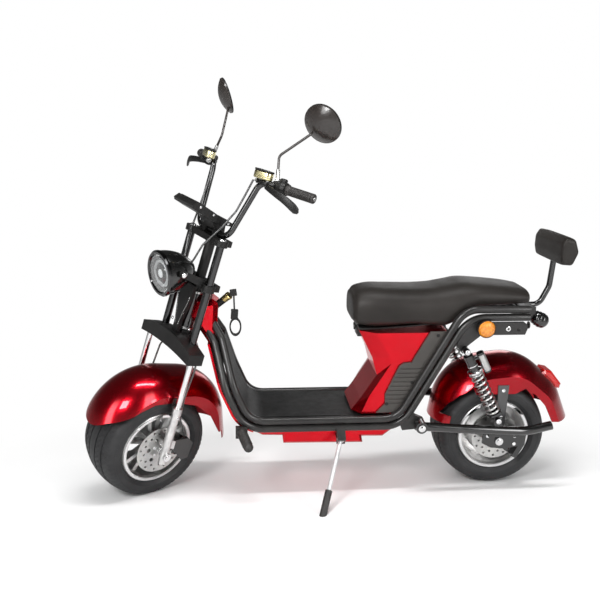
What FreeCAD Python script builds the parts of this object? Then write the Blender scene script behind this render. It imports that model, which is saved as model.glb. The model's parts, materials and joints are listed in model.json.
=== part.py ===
import FreeCAD, Part
import math
import os
from FreeCAD import Placement, Rotation, Vector

os.makedirs("parts", exist_ok=True)

# Sizes in millimetres and degrees.
# Bike frame: x forward from the rear axle, y to the rider's left, z up from the floor, bike upright.
# Fork frame: x forward and z up the steering axis, origin on that axis level with the front axle.

# Wheels
tyre_diameter = 434.0
tyre_width = 224.0
crown_radius = 280.0
crown_half = 94.0
rim_seat_radius = 132.0
rim_flange_radius = 142.6
rim_half = 100.0
rim_wall = 9.0
rim_lip = 6.0
spoke_pairs = 5
spoke_width = 15.0
spoke_pair_angle = 26.0
hub_radius = 38.0
hub_half = 62.0
motor_radius = 96.0
motor_half = 58.0
axle_radius = 9.0
disc_radius = 92.0
disc_thickness = 4.0
disc_centre = 112.0
disc_holes = 12
disc_hole_radius = 4.5

# Steering geometry and how the scooter stands
wheelbase = 1364.0
rake_angle = 16.7
fork_offset = 45.3
steer_angle = 35.9
lean_angle = 8.8

# Clearances
fender_room = 10.0
seat_gap = 0.3
pin_gap = 0.3
fit_gap = 0.3

# Frame tubes
tube_radius = 14.0
tube_pitch = 30.0
tube_track = 150.0
tail_length = 78.0
cross_tube_radius = 11.0

# Head tube and fork
head_tube_radius = 26.0
head_tube_low = 452.0
head_tube_high = 606.0
stem_radius = 19.0
upper_track = 98.6
upper_tube_radius = 14.5
upper_tube_setback = 25.0
leg_track = tyre_width / 2 + 38
stanchion_radius = 11.5
slider_radius = 16.0
slider_top = 190.0
arch_low = 372.0
arch_high = 440.0
arch_half = leg_track + 22
top_clamp_height = 838.0
mid_clamp_height = head_tube_high + 26

# Handlebar
bar_radius = 11.1
grip_radius = 17.0
grip_length = 110.0

# Body panels
panel_sheet = 8.0
mat_thickness = 5.0
body_half = tube_track - tube_radius - 4
fender_sheet = 4.0

# Suspension
shock_track = tube_track + 15
shock_body_radius = 18.0
spring_radius = 28.0
spring_turns = 8
swing_track = tube_track + 36
swing_radius = 17.0

tyre_radius = tyre_diameter / 2


def unit(vector):
    return vector * (1.0 / vector.Length)


def turned(axis, angle):
    return Placement(Vector(0, 0, 0), Rotation(axis, angle))


def moved(x, y, z):
    return Placement(Vector(x, y, z), Rotation())


Y_AXIS = Vector(0, 1, 0)
X_AXIS = Vector(1, 0, 0)
Z_AXIS = Vector(0, 0, 1)


# Geometry of the stance


def fork_frame():
    rake = math.radians(rake_angle)
    level_offset = fork_offset * math.cos(rake)
    axle_rise = fork_offset * math.sin(rake)
    return Placement(
        Vector(wheelbase - level_offset, 0, tyre_radius - axle_rise),
        Rotation(Y_AXIS, -rake_angle),
    )


def tyre_reach(axle_direction):
    # Height of the wheel's centre over the floor for a tyre with a round crown.
    tilt = math.sqrt(1.0 - axle_direction.z ** 2)
    return (tyre_radius - crown_radius) * tilt + crown_radius


def settled_stance():
    # Leans the bike, then finds the pitch and lift at which both tyres touch the floor.
    steered = fork_frame().multiply(turned(Z_AXIS, steer_angle))
    front_axle = steered.multVec(Vector(fork_offset, 0, 0))
    front_axis = steered.Rotation.multVec(Y_AXIS)
    rear_axle = Vector(0, 0, tyre_radius)
    pitch = 0.0
    for _ in range(12):
        turn = Rotation(X_AXIS, -lean_angle).multiply(Rotation(Y_AXIS, pitch))
        front_lift = tyre_reach(turn.multVec(front_axis)) - turn.multVec(front_axle).z
        rear_lift = tyre_reach(turn.multVec(Y_AXIS)) - turn.multVec(rear_axle).z
        pitch -= math.degrees((front_lift - rear_lift) / wheelbase)
    return Placement(Vector(0, 0, rear_lift), turn)


stance = settled_stance()
fork_straight = stance.multiply(fork_frame())
steering_place = fork_straight.multiply(turned(Z_AXIS, steer_angle))
front_wheel_place = steering_place.multiply(moved(fork_offset, 0, 0))
rear_wheel_place = stance.multiply(moved(0, 0, tyre_radius))


# Shape helpers


def rounded_edges(points, radii):
    # Straight runs joined by tangent arcs, one radius for each inner corner.
    edges = []
    last = points[0]
    for corner in range(1, len(points) - 1):
        before = unit(points[corner - 1] - points[corner])
        after = unit(points[corner + 1] - points[corner])
        half = before.getAngle(after) / 2
        reach = radii[corner - 1] / math.tan(half)
        start = points[corner] + before * reach
        end = points[corner] + after * reach
        middle_way = unit(before + after)
        centre = points[corner] + middle_way * (radii[corner - 1] / math.sin(half))
        middle = centre - middle_way * radii[corner - 1]
        if (start - last).Length > 1e-6:
            edges.append(Part.LineSegment(last, start).toShape())
        edges.append(Part.Arc(start, middle, end).toShape())
        last = end
    edges.append(Part.LineSegment(last, points[-1]).toShape())
    return edges


def tube(points, radii, radius):
    path = Part.Wire(rounded_edges(points, radii))
    ring = Part.Wire(Part.Circle(points[0], points[1] - points[0], radius).toShape())
    return path.makePipeShell([ring], True, False)


def rod(start, end, radius):
    return Part.makeCylinder(radius, (end - start).Length, start, end - start)


def across(x, z, radius, half):
    # A round bar from side to side.
    return rod(Vector(x, -half, z), Vector(x, half, z), radius)


def section_wire(outline, y):
    points = [Vector(x, y, z) for x, z in outline]
    return Part.makePolygon(points + points[:1])


def side_face(outline, y):
    return Part.Face(section_wire(outline, y))


def slab(outline, y_low, y_high):
    # A plate whose outline is given in side view.
    return side_face(outline, y_low).extrude(Vector(0, y_high - y_low, 0))


def inset_outline(outline, distance):
    # Moves every edge of a closed outline inwards and meets them again at the corners.
    area = sum(x0 * z1 - x1 * z0 for (x0, z0), (x1, z1) in zip(outline, outline[1:] + outline[:1]))
    side = 1 if area > 0 else -1
    result = []
    for index, (x, z) in enumerate(outline):
        x_before, z_before = outline[index - 1]
        x_after, z_after = outline[(index + 1) % len(outline)]
        run_in = math.hypot(x - x_before, z - z_before)
        run_out = math.hypot(x_after - x, z_after - z)
        normal_in = (-(z - z_before) / run_in, (x - x_before) / run_in)
        normal_out = (-(z_after - z) / run_out, (x_after - x) / run_out)
        scale = side * distance / (1 + normal_in[0] * normal_out[0] + normal_in[1] * normal_out[1])
        result.append((x + (normal_in[0] + normal_out[0]) * scale, z + (normal_in[1] + normal_out[1]) * scale))
    return result


def bevelled(outline, half, bevel):
    # A block with its outline in side view and both side faces bevelled in.
    inset = inset_outline(outline, bevel)
    sections = [
        section_wire(inset, -half),
        section_wire(outline, bevel - half),
        section_wire(outline, half - bevel),
        section_wire(inset, half),
    ]
    return Part.makeLoft(sections, True, True)


def revolved(profile, axis_direction):
    # Turns a closed outline of (along, radius) points about an axis through the origin.
    if axis_direction == Y_AXIS:
        points = [Vector(radius, along, 0) for along, radius in profile]
    else:
        points = [Vector(along, 0, radius) for along, radius in profile]
    face = Part.Face(Part.makePolygon(points + points[:1]))
    return face.revolve(Vector(0, 0, 0), axis_direction, 360)


def mirrored(shape):
    return shape.mirror(Vector(0, 0, 0), Y_AXIS)


def both_sides(shape):
    return Part.Compound([shape, mirrored(shape)])


def merged(shapes):
    return shapes[0].fuse(shapes[1:]).removeSplitter()


def offset_route(route, distance):
    # Moves a side-view route (x, z) to its inner side, corner by corner.
    normals = []
    for (x0, z0), (x1, z1) in zip(route, route[1:]):
        run = math.hypot(x1 - x0, z1 - z0)
        normals.append(((z1 - z0) / run, (x0 - x1) / run))
    result = []
    for index, (x, z) in enumerate(route):
        before = normals[max(index - 1, 0)]
        after = normals[min(index, len(normals) - 1)]
        scale = distance / (1 + before[0] * after[0] + before[1] * after[1])
        result.append((x + (before[0] + after[0]) * scale, z + (before[1] + after[1]) * scale))
    return result


def bent_sheet(route, radii, inner, outer, y_low, y_high):
    # A bent sheet between two offsets of a side-view route.
    edges = []
    ends = []
    for distance in (inner, outer):
        points = [Vector(x, y_low, z) for x, z in offset_route(route, distance)]
        edges.extend(rounded_edges(points, [radius - distance for radius in radii]))
        ends.append(points)
    edges.append(Part.LineSegment(ends[0][0], ends[1][0]).toShape())
    edges.append(Part.LineSegment(ends[0][-1], ends[1][-1]).toShape())
    wire = Part.Wire(Part.__sortEdges__(edges))
    return Part.Face(wire).extrude(Vector(0, y_high - y_low, 0))


# Every node goes into this table with the placement of its body
nodes = {}


def keep(name, shape, place):
    placed = shape.copy()
    placed.Placement = place.multiply(placed.Placement)
    nodes[name] = placed


# Wheels, each about its own centre with the axle along y


def crown_drop(half):
    return crown_radius - math.sqrt(crown_radius ** 2 - half ** 2)


def make_tyre():
    shoulder = tyre_radius - crown_drop(crown_half)
    half = tyre_width / 2
    bead = rim_seat_radius + fit_gap
    bead_half = rim_half - rim_lip - fit_gap
    lip = rim_flange_radius + fit_gap
    edges = [
        Part.Arc(
            Vector(shoulder, -crown_half, 0), Vector(tyre_radius, 0, 0), Vector(shoulder, crown_half, 0)
        ).toShape(),
    ]
    for side in (-1, 1):
        edges.append(
            Part.Arc(
                Vector(shoulder, side * crown_half, 0),
                Vector(shoulder - 13, side * (half - 7), 0),
                Vector(shoulder - 34, side * half, 0),
            ).toShape()
        )
        edges.append(
            Part.Arc(
                Vector(shoulder - 34, side * half, 0),
                Vector(shoulder - 50, side * (half - 5), 0),
                Vector(lip, side * (rim_half - 2), 0),
            ).toShape()
        )
        edges.append(
            Part.LineSegment(Vector(lip, side * (rim_half - 2), 0), Vector(lip, side * bead_half, 0)).toShape()
        )
        edges.append(Part.LineSegment(Vector(lip, side * bead_half, 0), Vector(bead, side * bead_half, 0)).toShape())
    edges.append(Part.LineSegment(Vector(bead, -bead_half, 0), Vector(bead, bead_half, 0)).toShape())
    face = Part.Face(Part.Wire(Part.__sortEdges__(edges)))
    return face.revolve(Vector(0, 0, 0), Y_AXIS, 360)


def make_rim_barrel():
    inner = rim_seat_radius - rim_wall
    profile = [
        (-rim_half, inner + 4),
        (-rim_half, rim_flange_radius - 3),
        (-rim_half + 3, rim_flange_radius),
        (-(rim_half - rim_lip), rim_flange_radius),
        (-(rim_half - rim_lip), rim_seat_radius),
        (rim_half - rim_lip, rim_seat_radius),
        (rim_half - rim_lip, rim_flange_radius),
        (rim_half - 3, rim_flange_radius),
        (rim_half, rim_flange_radius - 3),
        (rim_half, inner + 4),
        (rim_half - 12, inner),
        (-(rim_half - 12), inner),
    ]
    return revolved(profile, Y_AXIS)


def make_front_rim():
    barrel = make_rim_barrel()
    hub = rod(Vector(0, -hub_half, 0), Vector(0, hub_half, 0), hub_radius)
    pieces = [barrel, hub]
    reach = rim_seat_radius - rim_wall + 2
    for pair in range(spoke_pairs):
        for side in (-0.5, 0.5):
            angle = pair * 360.0 / spoke_pairs + side * spoke_pair_angle
            spoke = slab(
                [(-spoke_width / 2, 20), (spoke_width / 2, 20), (spoke_width / 2, reach), (-spoke_width / 2, reach)],
                30,
                58,
            )
            spoke.Placement = turned(Y_AXIS, angle)
            pieces.append(spoke)
    bore = rod(Vector(0, -rim_half, 0), Vector(0, rim_half, 0), axle_radius + pin_gap)
    return merged(pieces).cut(bore)


def make_rear_rim():
    barrel = make_rim_barrel()
    web = rod(Vector(0, -8, 0), Vector(0, 8, 0), rim_seat_radius - rim_wall + 2)
    profile = [
        (-motor_half, 30),
        (-motor_half, motor_radius - 22),
        (-motor_half + 12, motor_radius),
        (motor_half - 12, motor_radius),
        (motor_half, motor_radius - 22),
        (motor_half, 30),
        (motor_half + 22, 22),
        (motor_half + 22, axle_radius + pin_gap),
        (-motor_half - 22, axle_radius + pin_gap),
        (-motor_half - 22, 22),
    ]
    bore = rod(Vector(0, -rim_half, 0), Vector(0, rim_half, 0), axle_radius + pin_gap)
    return merged([barrel, web, revolved(profile, Y_AXIS)]).cut(bore)


def make_disc(hub_side, track):
    # A drilled disc with its bell, which seats on the hub's end face.
    disc = rod(Vector(0, track - disc_thickness / 2, 0), Vector(0, track + disc_thickness / 2, 0), disc_radius)
    bell = rod(Vector(0, hub_side, 0), Vector(0, track + disc_thickness / 2, 0), 34)
    cuts = [rod(Vector(0, 0, 0), Vector(0, track + 50, 0), axle_radius + 2)]
    for ring, radius in ((0.0, disc_radius - 12), (0.5, disc_radius - 27)):
        for hole in range(disc_holes):
            angle = (hole + ring) * 2 * math.pi / disc_holes
            x = radius * math.cos(angle)
            z = radius * math.sin(angle)
            cuts.append(rod(Vector(x, track - 10, z), Vector(x, track + 10, z), disc_hole_radius))
    for window in range(6):
        angle = window * math.pi / 3
        x = 46 * math.cos(angle)
        z = 46 * math.sin(angle)
        cuts.append(rod(Vector(x, track - 10, z), Vector(x, track + 10, z), 8))
    return disc.fuse(bell).cut(Part.Compound(cuts))


def make_wheels():
    keep("front_tyre", make_tyre(), front_wheel_place)
    keep("front_rim", make_front_rim(), front_wheel_place)
    keep("front_discs", both_sides(make_disc(hub_half, disc_centre)), front_wheel_place)
    keep("rear_tyre", make_tyre(), rear_wheel_place)
    keep("rear_rim", make_rear_rim(), rear_wheel_place)
    keep("rear_disc", make_disc(motor_half + 22, disc_centre), rear_wheel_place)


# Frame

tail_bar_x = -60.0
tail_bar_z = 716.0

# Side view of the outer tube: x, y and z of each corner, from the neck to the tail
frame_corners = [
    (1122, 34, 668),
    (1082, 60, 600),
    (1040, tube_track, 440),
    (972, tube_track, 285),
    (382, tube_track, 285),
    (150, tube_track, 708),
    (-tail_length, tube_track, 708),
]
frame_radii = [60, 160, 110, 110, 110]


def frame_route(distance):
    side = offset_route([(x, z) for x, _, z in frame_corners], distance)
    return [Vector(x, corner[1], z) for (x, z), corner in zip(side, frame_corners)]


def make_frame():
    outer = tube(frame_route(0), frame_radii, tube_radius)
    inner = tube(frame_route(tube_pitch), [radius - 20 for radius in frame_radii], tube_radius)
    pair = Part.Compound([outer, inner])
    keep("frame_tubes_left", pair, stance)
    keep("frame_tubes_right", mirrored(pair), stance)
    bars = []
    # x, z of each bar from side to side
    for x, z in ((935, 292), (665, 285), (400, 300), (246, 532), (tail_bar_x, tail_bar_z)):
        bars.append(across(x, z, cross_tube_radius, tube_track))
    solids = Part.Compound([outer, inner, mirrored(outer), mirrored(inner)])
    keep("cross_members", Part.Compound(bars).cut(solids), stance)
    return solids


def make_neck(tubes):
    shell = rod(Vector(0, 0, head_tube_low), Vector(0, 0, head_tube_high), head_tube_radius)
    bore = rod(Vector(0, 0, head_tube_low - 1), Vector(0, 0, head_tube_high + 1), stem_radius + fit_gap)
    keep("head_tube", shell.cut(bore), fork_straight)
    outline = [
        (1166, 690),
        (1148, 745),
        (1100, 754),
        (1088, 760),
        (1066, 742),
        (1072, 650),
        (1058, 600),
        (1090, 566),
    ]
    cover = bevelled(outline, 58, 18)
    barrel = rod(Vector(0, 0, head_tube_low - 40), Vector(0, 0, head_tube_high + 40), head_tube_radius)
    barrel.Placement = fork_frame()
    cover = largest(cover.cut(Part.Compound([barrel, tubes])))
    keep("neck_cover", cover, stance)
    lock = rod(Vector(1078, 22, 726), Vector(1026, 52, 774), 13)
    lock = lock.cut(cover)
    # The key in the lock, its strap, remote and oval ring
    bow = rod(Vector(1026, 52, 774), Vector(1014, 59, 785), 3)
    grip = slab([(1019, 772), (1022, 796), (1002, 800), (999, 776)], 55, 62)
    strap = slab([(1012, 778), (1006, 778), (1004, 712), (1010, 712)], 57, 60)
    remote = slab([(1020, 722), (996, 722), (994, 688), (1018, 684)], 53, 65)
    ring = Part.makeCylinder(36, 7, Vector(0, 0, 0), Y_AXIS).cut(Part.makeCylinder(27, 7, Vector(0, 0, 0), Y_AXIS))
    oval = ring.transformGeometry(FreeCAD.Matrix(0.62, 0, 0, 1004, 0, 1, 0, 55, 0, 0, 1, 656, 0, 0, 0, 1))
    fob = merged([bow, grip, strap, remote, oval]).cut(Part.Compound([lock, cover]))
    keep("key_lock", Part.Compound([lock, largest(fob)]), stance)
    return cover


def largest(shape):
    return max(shape.Solids, key=lambda solid: solid.Volume)


floor_level = 285.0
floor_top = floor_level + tube_pitch + 4 + mat_thickness


def make_floor(tubes, cover):
    side = [(x, z) for x, _, z in frame_corners][1:4] + [(420, floor_level)]
    radii = frame_radii[1:3]
    half = tube_track - tube_radius - seat_gap
    board = bent_sheet(side, radii, tube_pitch - 8, tube_pitch + 4, -half, half)
    mat = bent_sheet(side, radii, tube_pitch + 4, tube_pitch + 4 + mat_thickness, 10 - half, half - 10)
    shield = bent_sheet(side, radii, -26, -26 + panel_sheet, -half, half)
    taper = Part.makePolygon(
        [Vector(0, -150, 0), Vector(0, 150, 0), Vector(0, 150, 430), Vector(0, 60, 640), Vector(0, -60, 640),
         Vector(0, -150, 430), Vector(0, -150, 0)]
    )
    window = Part.Face(taper).extrude(Vector(2000, 0, 0))
    behind_body = slab([(560, 200), (300, 200), (300, 420), (560, 420)], -200, 200)
    below_front = slab([(0, 0), (940, 0), (940, 420), (0, 420)], -200, 200)
    taken = Part.Compound([tubes, cover])
    keep("floor_board", largest(board.common(window).cut(taken)), stance)
    keep("floor_mat", largest(mat.common(window).cut(taken).cut(behind_body)), stance)
    keep("front_shield", largest(shield.common(window).cut(taken).cut(below_front)), stance)


def make_belly():
    outline = [
        (968, 304),
        (930, 262),
        (905, 249),
        (830, 246),
        (826, 214),
        (523, 210),
        (528, 236),
        (447, 234),
        (412, 262),
        (400, 304),
    ]
    top = floor_level + tube_pitch - 8 - seat_gap
    outline[0] = (outline[0][0], top)
    outline[-1] = (outline[-1][0], top)
    block = bevelled(outline, body_half, 9)
    bars = Part.Compound([across(x, z, cross_tube_radius, tube_track) for x, z in ((935, 292), (665, 285), (400, 300))])
    keep("belly_pan", largest(block.cut(bars)), stance)


hinge_x = 540.0
hinge_z = 639.0
hinge_pin_radius = 5.0
hinge_half = 34.0
hinge_depth = 34.0
pan_thickness = 5.0
pan_gap = 0.6
pan_half = 98.0


# Centre body: matching corners of the middle section and of the crease, x and z
body_middle = [(545, 646), (492, 540), (472, 470), (532, 377), (566, 331), (335, 331), (214, 646)]
body_crease = [(487, 646), (431, 551), (427, 527), (505, 400), (534, 331), (352, 331), (226, 646)]


def make_body():
    sections = [
        section_wire(body_crease, -body_half),
        section_wire(body_middle, -92),
        section_wire(body_middle, 92),
        section_wire(body_crease, body_half),
    ]
    hull = Part.makeLoft(sections, True, True)
    bar = across(246, 532, cross_tube_radius + seat_gap, tube_track)
    low = hinge_z - hinge_depth
    notch = slab([(508, low), (600, low), (600, 700), (508, 700)], -hinge_half - 3, hinge_half + 3)
    keep("centre_body", largest(hull.cut(Part.Compound([bar, notch]))), stance)


def make_side_panels():
    outline = [
        (286, 652),
        (339, 558),
        (351, 534),
        (381, 531),
        (398, 519),
        (447, 408),
        (445, 371),
        (478, 336),
        (390, 337),
        (210, 652),
    ]
    plate = slab(outline, body_half + seat_gap, body_half + 9)
    grooves = []
    for row in range(9):
        z = 372 + row * 17
        grooves.append(slab([(150, z), (600, z), (600, z + 5), (150, z + 5)], body_half + 6, body_half + 20))
    window = slab([(470, 360), (330, 360), (262, 520), (390, 520)], body_half, body_half + 20)
    beside = tube(frame_route(tube_pitch), [radius - 20 for radius in frame_radii], tube_radius + seat_gap)
    carved = largest(plate.cut(Part.Compound(grooves).common(window)).cut(beside))
    keep("side_panels", both_sides(carved), stance)


# Seat

# Sections of the cushion: x, underside, top, half width
seat_sections = [
    (572, 700, 766, 60),
    (548, 658, 794, 98),
    (480, 657, 802, 122),
    (334, 667, 798, 131),
    (228, 678, 804, 131),
    (140, 732, 820, 129),
    (30, 740, 813, 127),
    (-62, 742, 804, 124),
    (-94, 744, 794, 112),
]


def make_seat():
    # The flat underside is wide, and the flanks round over to the crown.
    wires = []
    for x, low, high, half in seat_sections:
        shoulder = low + (high - low) * 0.45
        left_low = Vector(x, half * 0.9, low)
        right_low = Vector(x, -half * 0.9, low)
        left = Vector(x, half, shoulder)
        right = Vector(x, -half, shoulder)
        left_top = Vector(x, half * 0.62, high - 4)
        right_top = Vector(x, -half * 0.62, high - 4)
        bulge = (high - shoulder) * 0.66 + shoulder
        edges = [
            Part.LineSegment(right_low, left_low).toShape(),
            Part.LineSegment(left_low, left).toShape(),
            Part.Arc(left, Vector(x, half * 0.9, bulge), left_top).toShape(),
            Part.Arc(left_top, Vector(x, 0, high), right_top).toShape(),
            Part.Arc(right_top, Vector(x, -half * 0.9, bulge), right).toShape(),
            Part.LineSegment(right, right_low).toShape(),
        ]
        wires.append(Part.Wire(edges))
    keep("seat_cushion", Part.makeLoft(wires, True, True), stance)


def make_seat_pan():
    front_edge = [(hinge_x + 6, hinge_z + 17)]
    under = front_edge + [(x, low - pan_gap) for x, low, _, _ in seat_sections if -50 < x < hinge_x]
    outline = under + [(x, z - pan_thickness) for x, z in reversed(under)]
    pan = slab(outline, -pan_half, pan_half)
    eye = across(hinge_x, hinge_z, hinge_pin_radius + 5, 22)
    back, front = hinge_x - 6, hinge_x + 6
    web = slab([(back, hinge_z), (front, hinge_z), (front, hinge_z + 16), (back, hinge_z + 16)], -22, 22)
    bore = across(hinge_x, hinge_z, hinge_pin_radius + pin_gap, 30)
    keep("seat_pan", merged([pan, eye, web]).cut(bore), stance)
    pin = across(hinge_x, hinge_z, hinge_pin_radius, hinge_half)
    low = hinge_z - hinge_depth + seat_gap
    base = slab([(510, low), (541, low), (541, low + 14), (510, low + 14)], -hinge_half, hinge_half)
    ears = []
    for side in (-1, 1):
        near, far = sorted((side * 26, side * hinge_half))
        ears.append(slab([(520, low + 10), (546, low + 10), (548, hinge_z + 2), (543, hinge_z + 6), (532, hinge_z + 6)],
                         near, far))
    keep("seat_hinge", merged([pin, base] + ears), stance)


# Tail, fender and lamps

tail_plate_half = 6.0
fender_half = tyre_width / 2 + fender_room
shock_top = (158.0, 586.0)
shock_foot = (17.0, 310.0)
rack_hole_x = 0.0
rack_hole_z = 665.0
rack_hole_radius = 4.2


def make_tail(tubes):
    outline = [(196, 648), (150, 690), (-60, 690), (-78, 676), (-66, 642), (100, 642), (150, 600), (182, 604)]
    plate = slab(outline, tube_track - tail_plate_half, tube_track + tail_plate_half)
    hole = across(rack_hole_x, rack_hole_z, rack_hole_radius, 200)
    x, z = shock_top
    outline = [(x - 15, z - 8), (x + 7, z - 16), (x + 39, z + 22), (x + 43, z + 50), (x + 23, z + 60), (x - 7, z + 22)]
    ear = slab(outline, tube_track - tail_plate_half - 6, shock_track - 14)
    bolt = rod(Vector(x, tube_track, z), Vector(x, shock_track + 24, z), 6)
    side = merged([plate.cut(hole), ear, bolt])
    keep("tail_plates", Part.Compound([largest(part.cut(tubes)) for part in (side, mirrored(side))]), stance)


# Crown line of the rear fender in side view, from its front edge to its tail
rear_fender_line = [(240, 262), (200, 500), (-110, 532), (-262, 408), (-338, 225)]
rear_fender_radii = [220, 200, 180]


def fender(line, radii, half, rise, skirt):
    # A sheet with a round crown and two skirts, swept along its crown line.
    points = [Vector(x, 0, z) for x, z in line]
    path = Part.Wire(rounded_edges(points, radii))
    along = unit(points[1] - points[0])
    out = Y_AXIS.cross(along)
    start = points[0]
    shells = []
    for inset in (0.0, fender_sheet):
        reach = half - inset
        left = start + Y_AXIS * reach - out * rise
        right = start - Y_AXIS * reach - out * rise
        crown = start - out * inset
        foot = -out * (skirt + rise)
        shells.append((start + Y_AXIS * reach + foot, left, crown, right, start - Y_AXIS * reach + foot))
    outer, inner = shells
    edges = [
        Part.LineSegment(outer[0], outer[1]).toShape(),
        Part.Arc(outer[1], outer[2], outer[3]).toShape(),
        Part.LineSegment(outer[3], outer[4]).toShape(),
        Part.LineSegment(outer[4], inner[4]).toShape(),
        Part.LineSegment(inner[4], inner[3]).toShape(),
        Part.Arc(inner[3], inner[2], inner[1]).toShape(),
        Part.LineSegment(inner[1], inner[0]).toShape(),
        Part.LineSegment(inner[0], outer[0]).toShape(),
    ]
    return path.makePipeShell([Part.Wire(edges)], True, False)


def make_rear_fender():
    sheet = fender(rear_fender_line, rear_fender_radii, fender_half, 62, 90)
    keep_low = slab(
        [(400, 303), (215, 303), (190, 348), (150, 390), (101, 419), (88, 394), (-65, 394), (-103, 414), (-150, 385),
         (-190, 340), (-222, 274), (-500, 270), (-500, 100), (400, 100)],
        -200,
        200,
    )
    crown_only = slab([(400, 303), (-222, 303), (-222, 274), (-500, 268), (-500, 268), (400, 268)], -112, 112)
    keep("rear_fender", largest(sheet.cut(keep_low.cut(crown_only))), stance)
    near = fender_half + seat_gap
    strap = slab([(-30, 268), (2, 268), (6, 430), (-36, 430)], near, near + 4)
    tab = slab([(-30, 262), (2, 262), (2, 268), (-30, 268)], near, swing_track - 36 - seat_gap)
    keep("fender_straps", both_sides(merged([strap, tab])), stance)


# Steering group, in the fork frame


def loft_bar(low_front, high_front, depth_low, depth_high):
    # A bar with bowed upper and lower edges in front view, given as (end height, middle height).
    edges = [
        Part.Arc(
            Vector(depth_low, -arch_half, low_front[0]),
            Vector(depth_low, 0, low_front[1]),
            Vector(depth_low, arch_half, low_front[0]),
        ).toShape(),
        Part.LineSegment(
            Vector(depth_low, arch_half, low_front[0]), Vector(depth_low, arch_half, high_front[0])
        ).toShape(),
        Part.Arc(
            Vector(depth_low, arch_half, high_front[0]),
            Vector(depth_low, 0, high_front[1]),
            Vector(depth_low, -arch_half, high_front[0]),
        ).toShape(),
        Part.LineSegment(
            Vector(depth_low, -arch_half, high_front[0]), Vector(depth_low, -arch_half, low_front[0])
        ).toShape(),
    ]
    return Part.Face(Part.Wire(edges)).extrude(Vector(depth_high - depth_low, 0, 0))


def clamp_plate(height, thickness, half, front, back, radius):
    # A flat clamp with round ends about the tubes.
    plate = Part.makeBox(front - back, 2 * half, thickness, Vector(back, -half, height))
    ends = []
    for side in (-1, 1):
        ends.append(
            rod(Vector(upper_tube_setback, side * half, height),
                Vector(upper_tube_setback, side * half, height + thickness), radius)
        )
    return merged([plate] + ends)


def make_yokes():
    stem = rod(Vector(0, 0, arch_high - 20), Vector(0, 0, top_clamp_height - 34 - seat_gap), stem_radius)
    washer = rod(Vector(0, 0, arch_high - 20), Vector(0, 0, head_tube_low - 1), head_tube_radius)
    arch = loft_bar((arch_low, arch_low + 12), (arch_low + 40, arch_high), 12, 76)
    bridge = Part.makeBox(62, 84, 44, Vector(-34, -42, arch_low + 22))
    mid = clamp_plate(mid_clamp_height, 24, upper_track, 42, -26, 24)
    tubes = both_sides(upper_tube(seat_gap))
    keep("fork_yokes", merged([stem, washer, arch, bridge, mid]).cut(tubes), steering_place)
    top = clamp_plate(top_clamp_height - 34, 22, upper_track, 44, -22, 24)
    risers = [Part.makeBox(34, 26, 29, Vector(-11, d - 13, top_clamp_height - 13)) for d in (-36, 36)]
    bar = rod(Vector(6, -60, top_clamp_height), Vector(6, 60, top_clamp_height), bar_radius + fit_gap)
    nose = slab([(-18, top_clamp_height - 34), (-46, top_clamp_height - 46), (-18, top_clamp_height - 14)], -20, 20)
    keep("top_clamp", merged([top, nose] + risers).cut(Part.Compound([tubes, bar])), steering_place)


def upper_tube(extra):
    return rod(
        Vector(upper_tube_setback, upper_track, arch_low + 34),
        Vector(upper_tube_setback, upper_track, top_clamp_height - 12),
        upper_tube_radius + extra,
    )


def make_fork():
    keep("fork_upper_tubes", both_sides(upper_tube(0)), steering_place)
    stanchion = rod(
        Vector(fork_offset, leg_track, slider_top - 10),
        Vector(fork_offset, leg_track, arch_low + 2),
        stanchion_radius,
    )
    yokes = nodes["fork_yokes"].transformed(steering_place.inverse().Matrix)
    keep("fork_stanchions", both_sides(largest(stanchion.cut(yokes))), steering_place)
    leg = rod(Vector(fork_offset, leg_track, -34), Vector(fork_offset, leg_track, slider_top), slider_radius)
    collar = rod(
        Vector(fork_offset, leg_track, slider_top - 22), Vector(fork_offset, leg_track, slider_top + 4),
        slider_radius + 3,
    )
    lug = slab([(fork_offset - 34, 22), (fork_offset - 4, 30), (fork_offset - 4, 62), (fork_offset - 34, 54)],
               leg_track - slider_radius, leg_track + 2)
    well = rod(
        Vector(fork_offset, leg_track, slider_top - 10 - seat_gap),
        Vector(fork_offset, leg_track, slider_top + 10),
        stanchion_radius + fit_gap,
    )
    axle_hole = rod(
        Vector(fork_offset, leg_track - 30, 0), Vector(fork_offset, leg_track + 30, 0), axle_radius + fit_gap
    )
    slider = merged([leg, collar, lug]).cut(Part.Compound([well, axle_hole]))
    keep("fork_sliders", both_sides(slider), steering_place)
    keep("front_axle", make_axle(leg_track, slider_radius, disc_centre), front_wheel_place)


def make_axle(track, leg_half, disc_at):
    # The spindle, its two spacers inside the legs and its end nuts.
    spindle = rod(Vector(0, -track - leg_half - 12, 0), Vector(0, track + leg_half + 12, 0), axle_radius)
    parts = [spindle]
    for side in (-1, 1):
        inner = side * (disc_at + disc_thickness / 2 + 1)
        outer = side * (track - leg_half - seat_gap)
        parts.append(rod(Vector(0, min(inner, outer), 0), Vector(0, max(inner, outer), 0), axle_radius + 5))
        nut_low = side * (track + leg_half + seat_gap)
        nut_high = side * (track + leg_half + 9)
        parts.append(rod(Vector(0, min(nut_low, nut_high), 0), Vector(0, max(nut_low, nut_high), 0), 15))
    return merged(parts)


# Crown line of the front fender in the fork frame, from its nose to its tail
front_fender_line = [(300, 30), (300, 290), (-190, 290), (-290, 50)]
front_fender_radii = [248, 230]


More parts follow.
